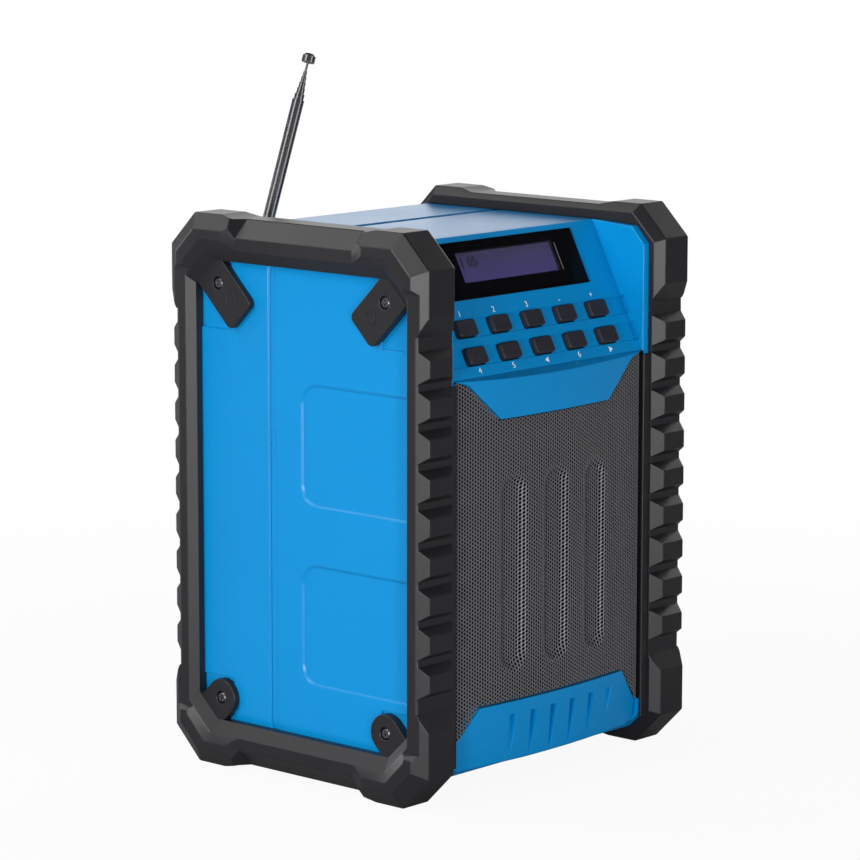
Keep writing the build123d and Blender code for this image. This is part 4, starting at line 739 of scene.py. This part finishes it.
def trimSheet(sheet, cuts):
    # each cut is a point and an outward direction in the X-Z plane
    makeActive(sheet)
    bpy.ops.object.mode_set(mode="EDIT")
    for (x, z), (outX, outZ) in cuts:
        bpy.ops.mesh.select_all(action="SELECT")
        bpy.ops.mesh.bisect(plane_co=(x, 0, z), plane_no=(outX, 0, outZ), clear_outer=True)
    bpy.ops.object.mode_set(mode="OBJECT")


def outwardOf(a, b, side):
    # direction square to the line a-b, on the trim's side of it
    dx, dz = b[0] - a[0], b[1] - a[1]
    length = sqrt(dx * dx + dz * dz)
    return (side * dz / length, -side * dx / length)


def buildGrille():
    whole = perforatedSheet("perforatedGrille")
    half = grille["halfWidth"]
    apronTop, apronShoulder, apronEnd = grille["apron"]
    chinTop, chinSide = grille["chin"]
    middle = [
        ((half, 0), (1, 0)),
        ((-half, 0), (-1, 0)),
        ((0, chinTop[1]), (0, -1)),
        ((0, apronTop[1]), (0, 1)),
    ]
    regions = [middle]
    for side in (1, -1):
        upper = [((side * half, 0), (side, 0)), ((0, apronTop[1]), (0, -1))]
        for a, b in ((apronTop, apronShoulder), (apronShoulder, apronEnd)):
            outX, outZ = outwardOf(a, b, -1)
            upper.append(((side * a[0], a[1]), (side * outX, outZ)))
        lower = [((side * half, 0), (side, 0)), ((0, chinTop[1]), (0, 1))]
        outX, outZ = outwardOf(chinTop, chinSide, 1)
        lower.append(((side * chinTop[0], chinTop[1]), (side * outX, outZ)))
        regions += [upper, lower]
    parts = []
    for index, cuts in enumerate(regions):
        part = whole
        if index + 1 < len(regions):
            part = whole.copy()
            part.data = whole.data.copy()
            scene.collection.objects.link(part)
        parts.append((part, cuts))
    for part, cuts in parts:
        trimSheet(part, cuts)
    deselectAll()
    for part, cuts in parts:
        part.select_set(True)
    bpy.context.view_layer.objects.active = whole
    bpy.ops.object.join()
    makeActive(whole)
    bpy.ops.object.mode_set(mode="EDIT")
    bpy.ops.mesh.select_all(action="SELECT")
    bpy.ops.mesh.remove_doubles(threshold=grille["cellWeld"])
    bpy.ops.object.mode_set(mode="OBJECT")
    wrap = whole.modifiers.new("bow", "SHRINKWRAP")
    wrap.target = nodes["grille"]
    wrap.wrap_method = "PROJECT"
    wrap.use_project_y = True
    wrap.use_negative_direction = False
    wrap.use_positive_direction = True
    bpy.ops.object.modifier_apply(modifier=wrap.name)
    bpy.ops.object.mode_set(mode="EDIT")
    bpy.ops.mesh.select_all(action="SELECT")
    bpy.ops.mesh.normals_make_consistent(inside=False)
    bpy.ops.object.mode_set(mode="OBJECT")
    mesh = whole.data
    if sum(p.normal.y for p in mesh.polygons) > 0:
        mesh.flip_normals()
    # the pressed channels have soft flanks
    channels = whole.vertex_groups.new(name="channels")
    reach = grille["channels"]
    inside = [
        vertex.index for vertex in mesh.vertices
        if abs(vertex.co.x) < reach["x"] and reach["low"] < vertex.co.z < reach["high"]
    ]
    channels.add(inside, 1.0, "REPLACE")
    soften = whole.modifiers.new("soften", "SMOOTH")
    soften.use_x = False
    soften.use_z = False
    soften.factor = reach["factor"]
    soften.iterations = reach["passes"]
    soften.vertex_group = channels.name
    bpy.ops.object.modifier_apply(modifier=soften.name)
    gauge = whole.modifiers.new("gauge", "SOLIDIFY")
    gauge.thickness = grille["thickness"]
    gauge.offset = -1
    gauge.use_rim_only = True
    bpy.ops.object.modifier_apply(modifier=gauge.name)
    setMaterial(whole, materials["grilleSteel"])
    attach(whole, "radio")
    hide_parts("grille")
    return whole


def buildFlanges():
    # the sheet's folded sides, which reach back to the baffle
    spec = grille["flange"]
    deselectAll()
    strips = []
    for side in (-1, 1):
        bpy.ops.mesh.primitive_cube_add(
            size=1.0,
            location=(
                side * (grille["halfWidth"] - grille["thickness"] / 2),
                (spec["front"] + spec["back"]) / 2,
                (spec["low"] + spec["high"]) / 2,
            ),
            scale=(grille["thickness"], spec["back"] - spec["front"], spec["high"] - spec["low"]),
        )
        strips.append(bpy.context.object)
    for strip in strips:
        strip.select_set(True)
    bpy.ops.object.join()
    flanges = bpy.context.object
    flanges.name = "grilleFlanges"
    bpy.ops.object.transform_apply(location=True, rotation=True, scale=True)
    setMaterial(flanges, materials["grilleSteel"])
    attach(flanges, "radio")


grilleSheet = buildGrille()
buildFlanges()
print("grille perforated:", len(grilleSheet.data.polygons), "faces")

# panel: window mask, a painted highlight strip beside the window opening, display digits and plain marks by
# the keys
panel = {
    "lean": 27.1,
    "topY": -0.03742,
    "topZ": 0.2274,
    "window": {"halfWidth": 0.04565, "top": 0.00245, "bottom": 0.02735, "depth": 0.00135},
    "opening": {"halfWidth": 0.0305, "top": 0.0067, "bottom": 0.0201},
    # the painted highlight strip beside the window opening: where it stands and how big it is
    "edgeHighlight": {"x": 0.0320, "width": 0.0004, "top": 0.0078, "bottom": 0.0200, "depth": 0.00125},
    "digits": {
        "text": "1 05", "x": -0.0231, "down": 0.0113, "size": 0.0064, "depth": 0.00242, "weight": 0.00013,
    },
    "keyPitch": 0.021,
    "film": 0.00005,
    "relief": 0.00004,
    "markSize": 0.0037,
    "arrowRadius": 0.4,  # share of the mark's size
    "upperRow": {"down": 0.0331, "marks": ["1", "2", "3", "-", "+"]},
    "lowerRow": {"down": 0.0579, "marks": ["4", "5", "left", "6", "right"]},
}


def onPanel(x, down, depth):
    # a place on the leaning panel: across, down its slope and behind its face
    lean = radians(panel["lean"])
    y = panel["topY"] - down * sin(lean) + depth * cos(lean)
    z = panel["topZ"] - down * cos(lean) - depth * sin(lean)
    return Vector((x, y, z))


def panelTurn():
    return (radians(90 - panel["lean"]), 0, 0)


def filmBar(name, across, down, depth, gauge, material):
    # a thin box on the panel, from its depth inwards
    (left, right), (top, bottom) = across, down
    deselectAll()
    bpy.ops.mesh.primitive_cube_add(
        size=1.0, location=onPanel((left + right) / 2, (top + bottom) / 2, depth + gauge / 2),
        rotation=panelTurn(), scale=(right - left, bottom - top, gauge),
    )
    bar = bpy.context.object
    bar.name = name
    bpy.ops.object.transform_apply(location=True, rotation=True, scale=True)
    setMaterial(bar, material)
    return bar


def glyph(text, x, down, depth, size, material, weight=0.0):
    deselectAll()
    bpy.ops.object.text_add(location=onPanel(x, down, depth), rotation=panelTurn())
    label = bpy.context.object
    label.data.body = text
    label.data.size = size
    label.data.align_x = "CENTER"
    label.data.align_y = "CENTER"
    label.data.extrude = panel["relief"]
    label.data.offset = weight
    bpy.ops.object.convert(target="MESH")
    setMaterial(label, material)
    return label


def arrow(side, x, down, size, material):
    # small three-sided plate that points left or right, its width centred on x
    radius = size * panel["arrowRadius"]
    turn = Matrix.Rotation(panelTurn()[0], 4, "X") @ Matrix.Rotation(radians(-90 * side), 4, "Z")
    deselectAll()
    bpy.ops.mesh.primitive_cylinder_add(
        vertices=3, radius=radius, depth=panel["film"],
        location=onPanel(x - side * radius / 4, down, -panel["film"] / 2), rotation=turn.to_euler(),
    )
    setMaterial(bpy.context.object, material)
    return bpy.context.object


def joinAs(name, pieces, body):
    deselectAll()
    for piece in pieces:
        piece.select_set(True)
    bpy.context.view_layer.objects.active = pieces[0]
    if len(pieces) > 1:
        bpy.ops.object.join()
    whole = bpy.context.object
    whole.name = name
    bpy.ops.object.transform_apply(location=True, rotation=True, scale=True)
    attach(whole, body)


def buildPanelTrim():
    window, opening = panel["window"], panel["opening"]
    half, inner = window["halfWidth"], opening["halfWidth"]
    mask = filmBar(
        "windowMask", (-half, half), (window["top"], window["bottom"]), window["depth"], panel["film"],
        materials["maskInk"],
    )
    cutter = filmBar(
        "maskCutter", (-inner, inner), (opening["top"], opening["bottom"]), window["depth"] - panel["film"],
        3 * panel["film"], materials["maskInk"],
    )
    makeActive(mask)
    cut = mask.modifiers.new("opening", "BOOLEAN")
    cut.object = cutter
    bpy.ops.object.modifier_apply(modifier=cut.name)
    bpy.data.objects.remove(cutter)
    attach(mask, "radio")
    # painted highlight: a thin light grey strip beside the window opening, where the bezel's edge catches the
    # light
    edgeHighlight = panel["edgeHighlight"]
    highlightStrip = filmBar(
        "windowEdgeHighlight", (edgeHighlight["x"], edgeHighlight["x"] + edgeHighlight["width"]), (edgeHighlight["top"], edgeHighlight["bottom"]),
        edgeHighlight["depth"], panel["film"], materials["paintedHighlightGrey"],
    )
    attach(highlightStrip, "radio")
    digits = panel["digits"]
    shown = glyph(
        digits["text"], digits["x"], digits["down"], digits["depth"], digits["size"], materials["displayInk"],
        digits["weight"],
    )
    joinAs("displayDigits", [shown], "radio")
    marks = []
    for row in (panel["upperRow"], panel["lowerRow"]):
        middle = (len(row["marks"]) - 1) / 2
        for column, mark in enumerate(row["marks"]):
            x = (column - middle) * panel["keyPitch"]
            if mark in ("left", "right"):
                side = -1 if mark == "left" else 1
                marks.append(arrow(side, x, row["down"], panel["markSize"], materials["markWhite"]))
            else:
                marks.append(glyph(mark, x, row["down"], 0, panel["markSize"], materials["markWhite"]))
    joinAs("keyMarks", marks, "radio")


buildPanelTrim()

tabMark = {
    "x": 0.0812, "y": 0.0392, "z": 0.1995, "radius": 0.0027, "wire": 0.00022, "steps": 48, "wireSteps": 8,
}


def buildTabMarks():
    # a plain raised ring on each upper tab
    rings = []
    for side in (-1, 1):
        for end in (-1, 1):
            deselectAll()
            bpy.ops.mesh.primitive_torus_add(
                major_radius=tabMark["radius"], minor_radius=tabMark["wire"],
                major_segments=tabMark["steps"], minor_segments=tabMark["wireSteps"],
                location=(side * tabMark["x"], end * tabMark["y"], tabMark["z"]),
                rotation=(0, radians(90), 0),
            )
            bpy.ops.object.shade_smooth()
            setMaterial(bpy.context.object, materials["bumperRubber"])
            rings.append(bpy.context.object)
    joinAs("tabRings", rings, "radio")


buildTabMarks()
print("panel marks and tab rings placed")
